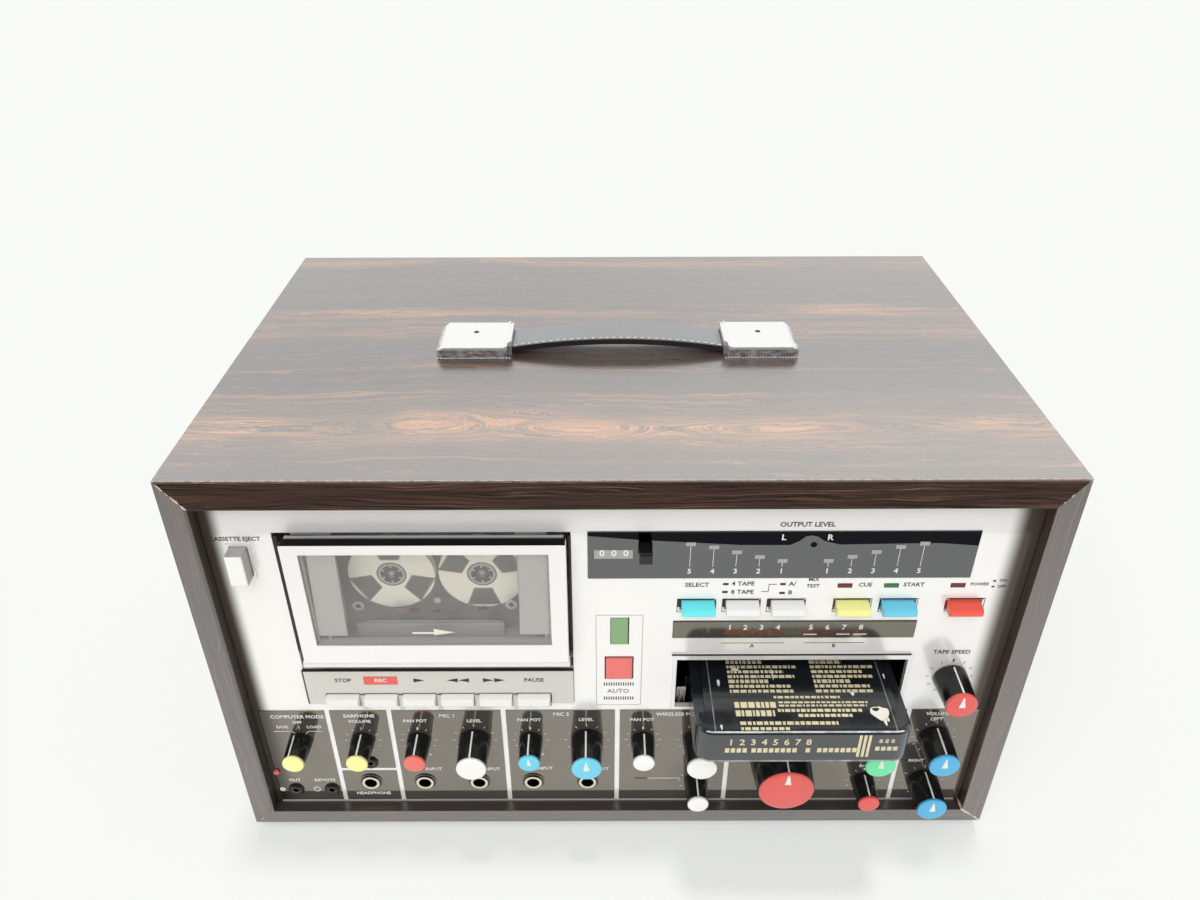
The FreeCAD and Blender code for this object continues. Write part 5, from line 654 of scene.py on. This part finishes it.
for name, cap_finish, angle, style, arrow in KNOBS:
    x, z, front = front_of(name)
    foot, end, length = STYLES[style]
    places[name] = (x, z)
    r, dome, sleeve = (end - 0.4, 1.1, 0.6) if style == "big" else (end + 0.1, 0.35, SLEEVE)
    cap = bmesh.new()
    lathe(cap, x, z, [(0, front - dome), (r * 0.45, front - dome * 0.9), (r * 0.75, front - dome * 0.65),
                      (r - 0.45, front - dome * 0.2), (r - 0.12, front + 0.05), (r, front + 0.3),
                      (r, front + sleeve), (0, front + sleeve)])
    piece(name + "_cap", cap, cap_finish, name, smooth=True)
    turn = math.radians(angle)

    def turned(u, v):
        """The place on the front of a point u to the right of the knob's axis and v towards its pointer."""
        return x + u * math.cos(turn) + v * math.sin(turn), z - u * math.sin(turn) + v * math.cos(turn)

    line = bmesh.new()
    near = end + (foot - end) * sleeve / length
    corners = [(front + sleeve, near - 0.8), (front + sleeve, near + 0.06), (SKIRT, foot), (SKIRT, foot - 0.8)]
    sides = []
    for u in (-POINTER / 2, POINTER / 2):
        rim = [turned(u, v) for y, v in corners]
        sides.append([(across, y, up) for (across, up), (y, v) in zip(rim, corners)])
    solid(line, *sides)
    if arrow:
        half, low_v, high_v = (1.7, 6.2, 13.0) if style == "big" else (0.22 * end, -0.1 * end, 0.78 * end)
        outline(line, [turned(-half, low_v), turned(half, low_v), turned(0.03 * end, high_v),
                       turned(-0.03 * end, high_v)], front - dome - 0.05, front + 0.2)
    piece(name + "_pointer", line, white_ink, name)

panel_ink = bmesh.new()
plate_marks_and_gap_shade = bmesh.new()
DOTTED = ("knob_mic_tone", "knob_echo_tone", "knob_balance", "knob_mix_tone", "knob_bass", "knob_tape_speed")
for name, cap_finish, angle, style, arrow in KNOBS:
    x, z = places[name]
    foot = STYLES[style][0]
    ink, face = (plate_marks_and_gap_shade, PLATE) if name == "knob_tape_speed" else (panel_ink, PANEL)
    if name in ("knob_selector", "knob_function"):
        continue
    for i in range(11):     # ticks 30 degrees apart, the first, middle and last of them longer
        swing = -150 + 30 * i
        wide = 0.8 if i == 5 and name in DOTTED else 0.32
        tall = 1.9 if i in (0, 5, 10) else 1.5
        bar(ink, *around(x, z, foot + 2.5, math.radians(swing)), wide, tall, face, swing)

# ---- Words, numbers and lines on the dark fields: text, place, height ----
PANEL_WORDS = [
    ("COMPUTER MODE", -164.7, 80.1, 2.0), ("OFF", -165.4, 76.0, 1.7), ("SAVE", -173.6, 72.6, 1.7),
    ("LOAD", -157.2, 72.6, 1.7), ("OUT", -174.4, 30.9, 1.8), ("REMOTE", -158.2, 30.8, 1.8),
    ("EARPHONE", -133.0, 80.7, 1.9), ("VOLUME", -133.2, 76.6, 1.8), ("HEADPHONE", -133.2, 19.9, 1.9),
    ("PAN POT", -104.7, 76.9, 1.8), ("MIC 1", -88.0, 80.6, 2.0), ("LEVEL", -74.4, 76.8, 1.8),
    ("L", -109.1, 51.1, 1.6), ("R", -99.1, 51.1, 1.6), ("INPUT", -98.6, 39.6, 1.9), ("INPUT", -67.6, 39.4, 1.9),
    ("PAN POT", -46.2, 77.4, 1.8), ("MIC 2", -29.6, 81.6, 2.0), ("LEVEL", -16.9, 77.6, 1.8),
    ("L", -50.8, 51.1, 1.6), ("R", -39.9, 51.1, 1.6), ("INPUT", -39.4, 39.9, 1.9), ("INPUT", -9.6, 39.4, 1.9),
    ("PAN POT", 11.8, 77.4, 1.8), ("WIRELESS MIC", 29.4, 81.4, 2.0), ("L", 7.5, 51.1, 1.6),
    ("R", 17.5, 51.1, 1.6), ("LEVEL", 41.7, 77.2, 1.8), ("TONE", 41.7, 44.4, 1.8),
    ("TREBLE", 131.6, 77.6, 1.8), ("BASS", 131.6, 41.2, 1.8), ("FUNCTION", 86.0, 80.4, 2.0),
    ("VOLUME", 163.0, 81.2, 1.9), ("LEFT", 163.0, 77.4, 1.9), ("RIGHT", 158.0, 45.4, 1.7),
]
for place in PANEL_WORDS:
    word(panel_ink, *place, PANEL)
# lines and rings of the computer switch and its sockets
for x0, x1 in ((-178.5, -169.2), (-160.6, -153.4)):
    bar(panel_ink, (x0 + x1) / 2, 69.4, x1 - x0, 0.35, PANEL)
bar(panel_ink, -168.3, 68.4, 0.35, 2.8, PANEL, -40)
bar(panel_ink, -161.4, 68.4, 0.35, 2.8, PANEL, 40)
bar(panel_ink, -165.0, 72.4, 0.35, 2.6, PANEL)
ring(panel_ink, -163.5, 23.4, 1.35, 1.95, PANEL)
ring(panel_ink, -182.2, 23.4, 0.01, 1.6, PANEL, steps=20)
bar(panel_ink, 24.4, 31.7, 17.6, 0.45, PANEL)
# the five places of the function dial
dial = places["knob_function"]
for i in range(5):
    swing = -60 + 30 * i
    bar(panel_ink, *around(*dial, 19.6, math.radians(swing)), 0.45, 3.4, PANEL, swing)
    word(panel_ink, str(i + 1), *around(*dial, 23.8, math.radians(swing)), 2.2, PANEL)
piece("panel_print", panel_ink, white_ink, "cabinet")
marks("panel_red_line", deep_red_ink, "red_print", (bar, 12.2, 31.7, 6.8, 0.8, PANEL))

# ---- Marks on the aluminium plate ----
PLATE_WORDS = [
    ("CASSETTE EJECT", -172.6, 195.0, 1.9), ("OUTPUT LEVEL", 82.6, 202.2, 2.2), ("TAPE SPEED", 161.6, 124.3, 2.1),
    ("SELECT", 35.3, 167.4, 2.1), ("4 TAPE", 56.6, 168.0, 2.1), ("8 TAPE", 56.6, 163.0, 2.1),
    ("A/", 79.4, 167.9, 2.1), ("B", 78.8, 162.6, 2.1), ("MIX", 89.0, 170.4, 1.7), ("TEST", 89.0, 166.6, 1.7),
    ("CUE", 113.2, 167.2, 2.0), ("START", 135.6, 167.2, 2.0), ("POWER", 166.0, 167.4, 1.5),
    ("ON", 176.4, 169.6, 1.3), ("OFF", 176.4, 166.0, 1.3), ("A", 63.9, 128.7, 1.9), ("B", 103.4, 128.7, 1.9),
]
for place in PLATE_WORDS:
    word(plate_marks_and_gap_shade, *place, PLATE)
# dots beside the words, then the bracket that joins the two tape rows to their switch
for place in ((48.6, 167.9, 2.6, 1.3), (48.5, 163.1, 2.6, 1.3), (75.0, 167.8, 2.6, 1.3), (75.1, 162.4, 2.6, 1.3),
              (172.4, 169.4, 1.3, 1.0), (172.4, 165.9, 1.3, 1.0), (68.6, 165.5, 0.3, 4.4), (66.9, 163.3, 3.2, 0.3),
              (70.4, 167.7, 3.6, 0.3)):
    bar(plate_marks_and_gap_shade, *place, PLATE)
# the two toothed lines of the column, then the brackets over the two tape sides
for z in (102.9, 92.9):
    for i in range(13):
        bar(plate_marks_and_gap_shade, -7.5 + 14.3 * i / 12, z, 0.55, 2.2, PLATE)
for x0, x1 in ((48.8, 79.2), (88.9, 117.9)):
    bar(plate_marks_and_gap_shade, (x0 + x1) / 2, 130.7, x1 - x0, 0.3, PLATE)
for i, left in enumerate((26.5, 47.6, 68.5, 99.6, 121.2, 152.5)):
    frame_line(plate_marks_and_gap_shade, left, left + 18.1, 150.7, 159.0, 0.32, PLATE)
    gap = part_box(f"push_button_{i + 1}")[0].x / MM - 0.1 - left    # painted shade in the gap beside the button
    if gap > 0.6:
        bar(plate_marks_and_gap_shade, left + gap / 2 + 0.15, 156.3, gap - 0.3, 4.8, PLATE)
    # painted shade in the gap above the button
    bar(plate_marks_and_gap_shade, left + 9.2, 158.5, 16.2, 0.7, PLATE)
frame_line(plate_marks_and_gap_shade, -176.6, -166.8, 174.0, 192.2, 0.4, PLATE)
# painted shade in the gaps round the square button and beside the lens over it
low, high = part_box("auto_select_button")
left, right, foot, top = low.x / MM, high.x / MM, low.z / MM - FEET, high.z / MM - FEET
frame_line(plate_marks_and_gap_shade, left - 0.6, right + 0.6, foot - 0.6, top + 0.6, 0.5, PLATE)
middle = (left + right) / 2
bar(plate_marks_and_gap_shade, middle + 4.35, foot + LENS_MIDDLE, 0.6, 17.3, PLATE)
bar(plate_marks_and_gap_shade, middle - 4.2, foot + LENS_MIDDLE, 0.3, 17.0, PLATE)
bar(plate_marks_and_gap_shade, middle, foot + LENS_MIDDLE - 8.5, 8.4, 0.35, PLATE)
piece("plate_print_and_gap_shade", plate_marks_and_gap_shade, dark_ink, "cabinet")
marks("column_outline", pale_ink, "bright_trim", (frame_line, -11.7, 11.0, 88.0, 149.0, 0.4, PLATE))
marks("column_word", mid_ink, "dark_print", (word, "AUTO", -0.5, 97.9, 2.4, PLATE))

# ---- Display ----
display = bmesh.new()
caps = bmesh.new()
LEVELS = (191.7, 189.9, 187.0, 184.3, 182.0)
for side in range(2):
    for i in range(5):
        x = 31.3 + 10.5 * i + 62.9 * side
        top = LEVELS[4 - i if side else i]
        bar(display, x, (178.6 + top - 1.2) / 2, 0.3, top - 179.8, GLASS)
        bar(caps, x, top, 4.5, 2.2, GLASS)
        word(display, str(i + 1 if side else 5 - i), x, 175.9, 2.4, GLASS)
word(display, "L", 72.6, 195.4, 2.7, GLASS - 0.04)
word(display, "R", 93.3, 195.3, 2.7, GLASS - 0.04)
piece("display_print", display, white_ink, "cabinet")
piece("level_caps", caps, grey_ink, "cabinet")
# painted reflection of the dark room across the top of the display: wavy lower edge, small round dark spot
shade = bmesh.new()
WAVE = [(-15.0, 196.5), (8.4, 194.2), (30.8, 192.7), (53.3, 191.2), (75.7, 191.1), (79.9, 193.4), (82.3, 195.9),
        (84.9, 196.5), (87.6, 195.9), (91.1, 193.3), (98.1, 191.3), (124.9, 191.8), (142.7, 192.0), (160.4, 190.5)]
for (x0, z0), (x1, z1) in zip(WAVE, WAVE[1:]):
    outline(shade, [(x0, z0), (x1, z1), (x1, 198.45), (x0, 198.45)], GLASS - 0.03, GLASS + SUNK)
ring(shade, 86.4, 191.3, 0.01, 1.5, GLASS, steps=20, thick=0.03)
piece("display_painted_reflection", shade, painted_dark_reflection, "cabinet")
marks("counter_wheels", grey_ink, "display", (slab, -12.2, 5.4, 183.5, 188.5, GLASS - 0.06, GLASS + SUNK))
marks("counter_digits", white_ink, "white_print",
      *((word, "0", x, 186.6, 3.0, GLASS - 0.06) for x in (-8.6, -3.2, 2.2)))

# ---- Programme strip ----
STRIP = 3.45        # face of the strip
marks("programme_strip", strip_face, "dark_panel", (slab, 25.4, 140.8, 134.6, 144.9, STRIP, PLATE + 0.5))
strip_ink = bmesh.new()
strip_red = bmesh.new()
for i, x in enumerate((52.3, 59.7, 67.4, 75.2, 91.0, 98.8, 106.7, 114.8)):
    word(strip_ink, str(i + 1), x, 141.2, 2.6, STRIP)
    bar(strip_red, x, 137.7, 6.4, 1.1, STRIP)
    if i in (4, 6, 7):
        bar(strip_ink, x, 136.8, 6.4, 0.6, STRIP)
piece("strip_numbers", strip_ink, white_ink, "cabinet")
piece("strip_red_lines", strip_red, deep_red_ink, "cabinet")

# ---- Trim: lining of the door opening, line under the dark fields, edge and bristles of the slot ----
marks("door_lining", dark_chrome, "bright_trim",
      *((slab, *edges, 126.5, 197.0, PLATE - 0.35, PLATE + 0.4) for edges in ((-155.9, -153.7), (-23.6, -22.5))))
marks("lower_trim", grey_ink, "bright_trim", (slab, -184.0, 184.0, 13.0, 14.3, PLATE - 0.4, PLATE + 0.3))
marks("slot_top_line", dark_ink, "dark_print", (slab, 25.4, 141.8, 123.1, 123.9, 2.95, 3.4))
bristles = bmesh.new()
for i in range(9):
    x = 29.0 + 0.5 * i + random.uniform(-0.1, 0.1)
    foot_z = 91.0 + random.uniform(-2.0, 3.0)
    outline(bristles, [(x - 0.6 + i * 0.05, foot_z), (x, 101.5), (x + 0.25, 101.5)], 3.2, 3.5)
piece("slot_bristles", bristles, white_ink, "cabinet")
marks("key_gap_backs", finish["key_surround"], "light_plastic",
      *((slab, gap - 1.1, gap + 1.1, 87.2, 97.2, 2.0, 2.6) for gap in (-138.2 + 19.1 * (i + 0.5) for i in range(5))))

# ---- Key surround ----
SURROUND = 2.5      # face of the surround
key_marks_and_gap_shade = bmesh.new()


def arrow_head(bm, x, z, size, way):
    """A filled arrow head that points to the right for way 1 and to the left for way -1."""
    outline(bm, [(x - way * size, z - size * 0.5), (x + way * size, z), (x - way * size, z + size * 0.5)][::way],
            SURROUND - INK, SURROUND + SUNK)


row = 107.4
word(key_marks_and_gap_shade, "STOP", -136.9, row, 2.1, SURROUND)
arrow_head(key_marks_and_gap_shade, -99.3, row, 2.7, 1)
for dx in (-2.8, 2.8):
    arrow_head(key_marks_and_gap_shade, -80.0 + dx, row, 2.7, -1)
    arrow_head(key_marks_and_gap_shade, -62.1 + dx, row, 2.7, 1)
word(key_marks_and_gap_shade, "PAUSE", -42.4, row, 2.1, SURROUND)
# painted shade in the gap above each key
for i in range(6):
    left = -146.6 + 19.1 * i
    bar(key_marks_and_gap_shade, left + 8.4, 98.25, 16.8, 0.45, SURROUND)
for edges in ((-156.5, -155.9, 90.9, 114.0), (-155.9, -22.8, 113.5, 114.1)):
    slab(key_marks_and_gap_shade, *edges, SURROUND - 0.02, PLATE)
piece("key_signs_and_gap_shade", key_marks_and_gap_shade, dark_ink, "cabinet")
marks("record_label", coral_ink, "red_print",
      (slab, -126.7, -109.9, 104.5, 110.2, SURROUND - 0.05, SURROUND + SUNK))
marks("record_sign", white_ink, "white_print", (word, "REC", -118.3, row, 2.1, SURROUND - 0.05))
WINDOW = -3.9       # face of the door window
arrow = [(-97.4, 144.7), (-87.2, 144.7), (-87.2, 143.9), (-77.4, 145.6), (-87.2, 147.9), (-87.2, 145.9),
         (-97.4, 145.9)]
marks("tape_direction_sign", worn_white, "white_print", (outline, arrow, WINDOW - INK, WINDOW + SUNK), body="door")

# ---- Seen through the window: holder flanges, cassette fittings and reel faces ----
SHELL = 8.9         # face of the cassette shell
FLANGES = ([(-142.3, 141.3), (-128.6, 141.3), (-127.6, 191.6), (-140.2, 191.6)],
           [(-47.4, 141.9), (-33.0, 141.9), (-33.0, 191.6), (-45.9, 191.6)])
marks("holder_flanges", flange_grey, "light_plastic", *((outline, edge, -1.5, -1.3) for edge in FLANGES), body="door")
marks("cassette_fittings", grey_ink, "cassette_clear", (ring, -124.6, 150.6, 1.3, 2.9, SHELL),
      (ring, -51.8, 151.2, 1.3, 2.9, SHELL), (bar, -86.6, 154.0, 3.0, 3.0, SHELL),
      (bar, -89.8, 140.9, 66.6, 0.7, SHELL), body="door")
OPENINGS = ((-98.0, 148.0, 4.0, 2.4), (-65.6, 149.2, 4.2, 2.4), (-87.2, 147.2, 3.4, 1.8), (-124.6, 150.6, 1.6, 1.6),
            (-51.8, 151.2, 1.6, 1.6))
marks("cassette_openings", window_black, "cassette_clear", *((bar, *place, SHELL) for place in OPENINGS), body="door")
marks("cassette_pad", pad_brown, "cassette_clear", (bar, -104.8, 147.4, 6.5, 4.4, SHELL), body="door")
for body, turn in (("reel_left", 180), ("reel_right", 0)):
    x, z, face = front_of(body)
    cover, hollow, gold, hub = (bmesh.new() for _ in range(4))
    ring(cover, x, z, 7.2, 20.2, face, steps=48, thick=0.06)
    for i in range(3):
        a = math.radians(turn + 120 * i + 180)
        for bm, near, far, narrow, broad, rise in ((hollow, 9.0, 18.3, 4.0, 7.6, 0.12),
                                                   (gold, 8.4, 19.0, 4.4, 8.2, 0.09)):
            outline(bm, [(x + r * math.sin(a) + s * math.cos(a), z + r * math.cos(a) - s * math.sin(a))
                         for r, s in ((near, -narrow), (far, -broad), (far, broad), (near, narrow))],
                    face - rise, face - 0.01)
    ring(hub, x, z, 5.2, 6.4, face, steps=32, thick=0.14)
    ring(hollow, x, z, 2.4, 5.2, face, steps=32, thick=0.08)
    ring(hollow, x, z, 6.4, 7.0, face, steps=32, thick=0.1)
    for i in range(6):
        bar(hub, *around(x, z, 4.6, math.radians(60 * i)), 0.9, 1.6, face, 60 * i, thick=0.14)
    piece(body + "_face", cover, reel_gold, body)
    piece(body + "_edges", gold, edge_gold, body)
    piece(body + "_windows", hollow, window_black, body)
    piece(body + "_hub", hub, flange_grey, body)

# ---- Jack washers ----
washers = bmesh.new()
for x in (-133.25, -104.1, -74.9, -45.8, -16.6):
    lathe(washers, x, 29.8, [(4.75, PANEL - 0.75), (5.5, PANEL - 0.7), (5.9, PANEL - 0.45), (5.9, PANEL + SUNK),
                             (4.75, PANEL + SUNK), (4.75, PANEL - 0.75)])
MINI_JACKS = ((-174.7, 23.6), (-155.2, 23.6), (-131.65, 45.2))
for x, z in MINI_JACKS:
    lathe(washers, x, z, [(2.3, PANEL - 1.0), (3.6, PANEL - 0.95), (4.2, PANEL - 0.6), (4.2, PANEL + SUNK),
                          (2.3, PANEL + SUNK), (2.3, PANEL - 1.0)])
piece("jack_washers", washers, black_abs, "cabinet", smooth=True)
marks("mini_jack_rings", nickel_ring, "jack_metal",
      *((ring, x, z, 1.7, 2.6, PANEL - 1.0, 32, 0.04) for x, z in MINI_JACKS))

# ---- Print of the cartridge: plain bars, numbers and stripes ----
TOP = 109.0         # upper face of the cartridge
NOSE = -32.0        # front face of the cartridge


def flat(bm, points, rise):
    """A printed mark on the upper face of the cartridge, from points (x, y) in order."""
    solid(bm, *([(x, y, z) for x, y in points] for z in (TOP + rise, TOP - SUNK)))


def splash(bm, x, y, half_x, half_y, rise=INK):
    """A worn patch with an uneven edge on the upper face of the cartridge."""
    count = 22
    edge_points = []
    for i in range(count):
        a = 2 * math.pi * i / count
        r = 1 + 0.1 * math.sin(3 * a) + random.uniform(-0.1, 0.1)
        edge_points.append((x + half_x * r * math.cos(a), y + half_y * r * math.sin(a)))
    flat(bm, edge_points, rise)


def dashes(bm, x, y, width, depth):
    """A row of short bars with gaps, as long as a line of print."""
    at_x = x
    while at_x < x + width:
        length = min(random.uniform(0.9, 3.2), x + width - at_x)
        middle = at_x + length / 2
        x0, x1, y0, y1 = middle - length / 2, middle + length / 2, y - depth / 2, y + depth / 2
        flat(bm, [(x0, y0), (x1, y0), (x1, y1), (x0, y1)], INK)
        at_x += length + random.uniform(0.45, 0.7)


print_top = bmesh.new()
ROWS = [(12.7, 18.0, 2.3), (9.4, 35.0, 1.9), (6.1, 28.0, 1.9), (2.9, 33.0, 1.9), (-0.3, 20.0, 2.3), (-3.5, 30.0, 1.9),
        (-6.7, 31.0, 1.9)]
for left in (53.4, 95.2):
    for y, width, depth in ROWS:
        dashes(print_top, left, y, width * (1.0 if left < 60 else 0.9), depth)
dashes(print_top, 74.0, -10.6, 32.0, 1.5)
for y, width in ((-15.4, 20.0), (-20.6, 18.6)):
    dashes(print_top, 54.6, y, width, 3.6)
for y, left, width, depth in ((-13.9, 75.8, 43.0, 1.1), (-15.9, 75.8, 42.0, 1.1), (-18.9, 74.8, 40.0, 1.8),
                              (-22.0, 84.0, 26.0, 1.8), (-26.6, 56.0, 46.0, 2.0), (-29.9, 56.0, 23.0, 1.7)):
    dashes(print_top, left, y, width, depth)
piece("cartridge_print", print_top, cream_ink, "cartridge")
print_front = bmesh.new()
for i in range(8):
    word(print_front, str(i + 1), 51.6 + 5.2 * i, 102.0, 3.3, NOSE)
for x0, x1 in ((49.0, 59.5), (61.5, 84.5), (87.0, 90.2), (92.4, 110.0)):
    x = x0
    while x < x1 - 1.0:
        bar(print_front, x + 1.05, 96.6, 2.1, 3.0, NOSE)
        x += 2.75
for x in (111.9, 114.1, 116.3):
    bar(print_front, x, 99.3, 1.35, 14.8, NOSE)
word(print_front, "8 8 8", 124.4, 102.6, 2.2, NOSE)
for x in (120.6, 123.4, 126.2, 129.0):
    bar(print_front, x, 97.6, 2.1, 2.7, NOSE)
piece("cartridge_front_print", print_front, cream_ink, "cartridge")
CHIPS = ((124.2, -26.0, 0.8, 2.2), (125.8, -24.6, 0.6, 1.4), (48.4, -1.0, 0.7, 2.2), (47.0, -28.9, 0.5, 1.6),
         (57.5, 7.5, 1.9, 1.0), (75.6, 4.6, 0.3, 3.6), (130.6, 3.0, 0.4, 1.8), (112.6, -8.4, 0.9, 1.2),
         (118.0, 9.0, 1.2, 0.5))
marks("cartridge_worn_spot", worn_white, "white_print", (splash, 123.0, -20.6, 4.3, 4.1),
      *((splash, *chip, 0.06) for chip in CHIPS), body="cartridge")
marks("cartridge_spot_notch", window_black, "cartridge_plastic", (splash, 121.4, -18.4, 1.7, 1.0, INK + 0.02),
      body="cartridge")

# ---- Stitches of the strap, crinkled foot and screw marks of its brackets ----
stitches = bmesh.new()
half_span, rise, low_top = 55.5, 4.5, 233.2
radius = (half_span ** 2 + rise ** 2) / (2 * rise)
STITCHES = 30
for i in range(STITCHES):
    x = -half_span + 2 * half_span * (i + 0.5) / STITCHES
    z = low_top + math.sqrt(radius ** 2 - x ** 2) - (radius - rise)
    ball(stitches, x, 127.5 - 8.4, z, (1.2, 0.4, 0.22), lean=math.asin(x / radius))
piece("strap_stitches", stitches, white_ink, "cabinet", smooth=True)
hem = bmesh.new()
heads = bmesh.new()
BEADS = 26
for middle in (-75.25, 75.25):
    for i in range(BEADS):
        ball(hem, middle - 18.6 + 37.2 * i / (BEADS - 1), 111.9 + random.uniform(-0.15, 0.15), 229.35,
             (0.55, 0.5, 0.4))
    ball(heads, middle, 131.2, 235.3, (1.5, 1.5, 0.12), sides=16, rows=8)
piece("bracket_hem", hem, bead_white, "cabinet", smooth=True)
piece("bracket_screws", heads, dark_chrome, "cabinet", smooth=True)

# ---- Back: coloured collars of the pin sockets and the screws that hold the panel ----
BACK = 247.0        # outer face of the back panel
SOCKETS = 62.0      # height of the socket plates
SOCKET_PLATES = (-130.0, -70.0)
for dx, made, slot, name in ((-8.0, white_abs, "white_key", "white"), (8.0, red_abs, "red_key", "red")):
    collars = bmesh.new()
    for plate_x in SOCKET_PLATES:
        for dz in (-8.0, 8.0):
            lathe(collars, plate_x + dx, SOCKETS + dz, [(4.15, BACK + 1.0), (5.4, BACK + 1.0), (5.4, BACK + 3.0),
                                                        (5.0, BACK + 3.4), (4.15, BACK + 3.4), (4.15, BACK + 1.0)])
    piece(f"socket_collars_{name}", collars, made, "cabinet", smooth=True)
screws = bmesh.new()
for x in (-170.0, -57.0, 57.0, 170.0):
    for z in (24.0, 205.0):
        lathe(screws, x, z, [(0, BACK - 0.1), (3.2, BACK - 0.1), (3.2, BACK + 0.4), (2.2, BACK + 1.2),
                             (0.7, BACK + 1.5), (0.7, BACK + 0.6), (0, BACK + 0.6)], steps=24)
piece("panel_screws", screws, dark_chrome, "cabinet", smooth=True)


# ---- Floor, lamps, world and camera ----
def emptied(made):
    """Empties the node tree of a material or world; returns what adds nodes to it."""
    made.use_nodes = True
    made.node_tree.nodes.clear()
    return partial(add_node, made.node_tree)


floor_mesh = bmesh.new()
bmesh.ops.create_grid(floor_mesh, x_segments=1, y_segments=1, size=6.0)
mesh = bpy.data.meshes.new("floor")
floor_mesh.to_mesh(mesh)
floor_mesh.free()
floor = bpy.data.objects.new("floor", mesh)
bpy.context.scene.collection.objects.link(floor)
floor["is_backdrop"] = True
paper = bpy.data.materials.new("pale_paper")
add = emptied(paper)
seen = add("LightPath")
direct = add("ADD", seen.outputs["Is Camera Ray"], seen.outputs["Is Glossy Ray"])
direct = add("ADD", direct, seen.outputs["Is Transmission Ray"], use_clamp=True)
where = add("TexCoord")
forward = add("SeparateXYZ", where.outputs["Object"]).outputs[1]
# the paper ends in front of the part; what gloss shows of the room beyond is dark
beyond = add("MapRange", forward, -0.40, -0.425, 0.0, 1.0, **SMOOTH)
beyond = add("MULTIPLY", beyond, seen.outputs["Is Glossy Ray"])
share = add("MAXIMUM", add("MULTIPLY", direct, 0.38), beyond)
shown = add("Mix", beyond, "#f9feff", "#2e2a28", **COLOURS)
matt = add("BsdfDiffuse", "#f5f4f0")
bright = add("Emission", shown, 1.0)
mixed = add("MixShader", share, matt, bright)
add("OutputMaterial", mixed)
mesh.materials.append(paper)

world = bpy.data.worlds.new("studio")
bpy.context.scene.world = world
add = emptied(world)
seen = add("LightPath")
direction = add("TexCoord")
toward = add("VectorMath", direction.outputs["Generated"], (0.0, -0.78, 0.62), operation="DOT_PRODUCT")
dim = add("MapRange", toward.outputs["Value"], 0.1, 0.75, 0.0, 1.0, **SMOOTH)
room = add("Mix", dim, "#fbfcfb", "#4a4744", **COLOURS)
soft = add("Background", "#fbfbfa", 0.24)
mirror = add("Background", room, 1.0)
white = add("Background", "#fbfcfb", 1.0)
glossy = add("ADD", seen.outputs["Is Glossy Ray"], seen.outputs["Is Transmission Ray"], use_clamp=True)
inner = add("MixShader", glossy, soft, mirror)
outer = add("MixShader", seen.outputs["Is Camera Ray"], inner, white)
add("OutputWorld", outer)


def lamp(name, strength, spread, toward_lamp):
    """A broad even light from one side, which doesn't show in bright parts."""
    data = bpy.data.lights.new(name, "SUN")
    data.energy = strength
    data.angle = spread
    made = bpy.data.objects.new(name, data)
    made.rotation_euler = Vector(toward_lamp).to_track_quat("Z", "Y").to_euler()
    made.visible_glossy = False
    bpy.context.scene.collection.objects.link(made)


lamp("light_above", 0.9, 0.12, (0.03, 0.07, 1.0))
lamp("light_front", 2.2, 1.0, (-0.1, -0.66, 0.75))

camera = bpy.data.cameras.new("camera")
camera.sensor_width = 36.0
camera.lens = 28.61
camera.clip_start = 0.01
holder = bpy.data.objects.new("camera", camera)
holder.location = (-0.0093, -0.4443, 0.4665)
holder.rotation_euler = Euler((math.radians(57.233), math.radians(0.138), math.radians(-0.081)), "XYZ")
bpy.context.scene.collection.objects.link(holder)
bpy.context.scene.camera = holder
bpy.context.scene.view_settings.view_transform = "Standard"

low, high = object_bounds()
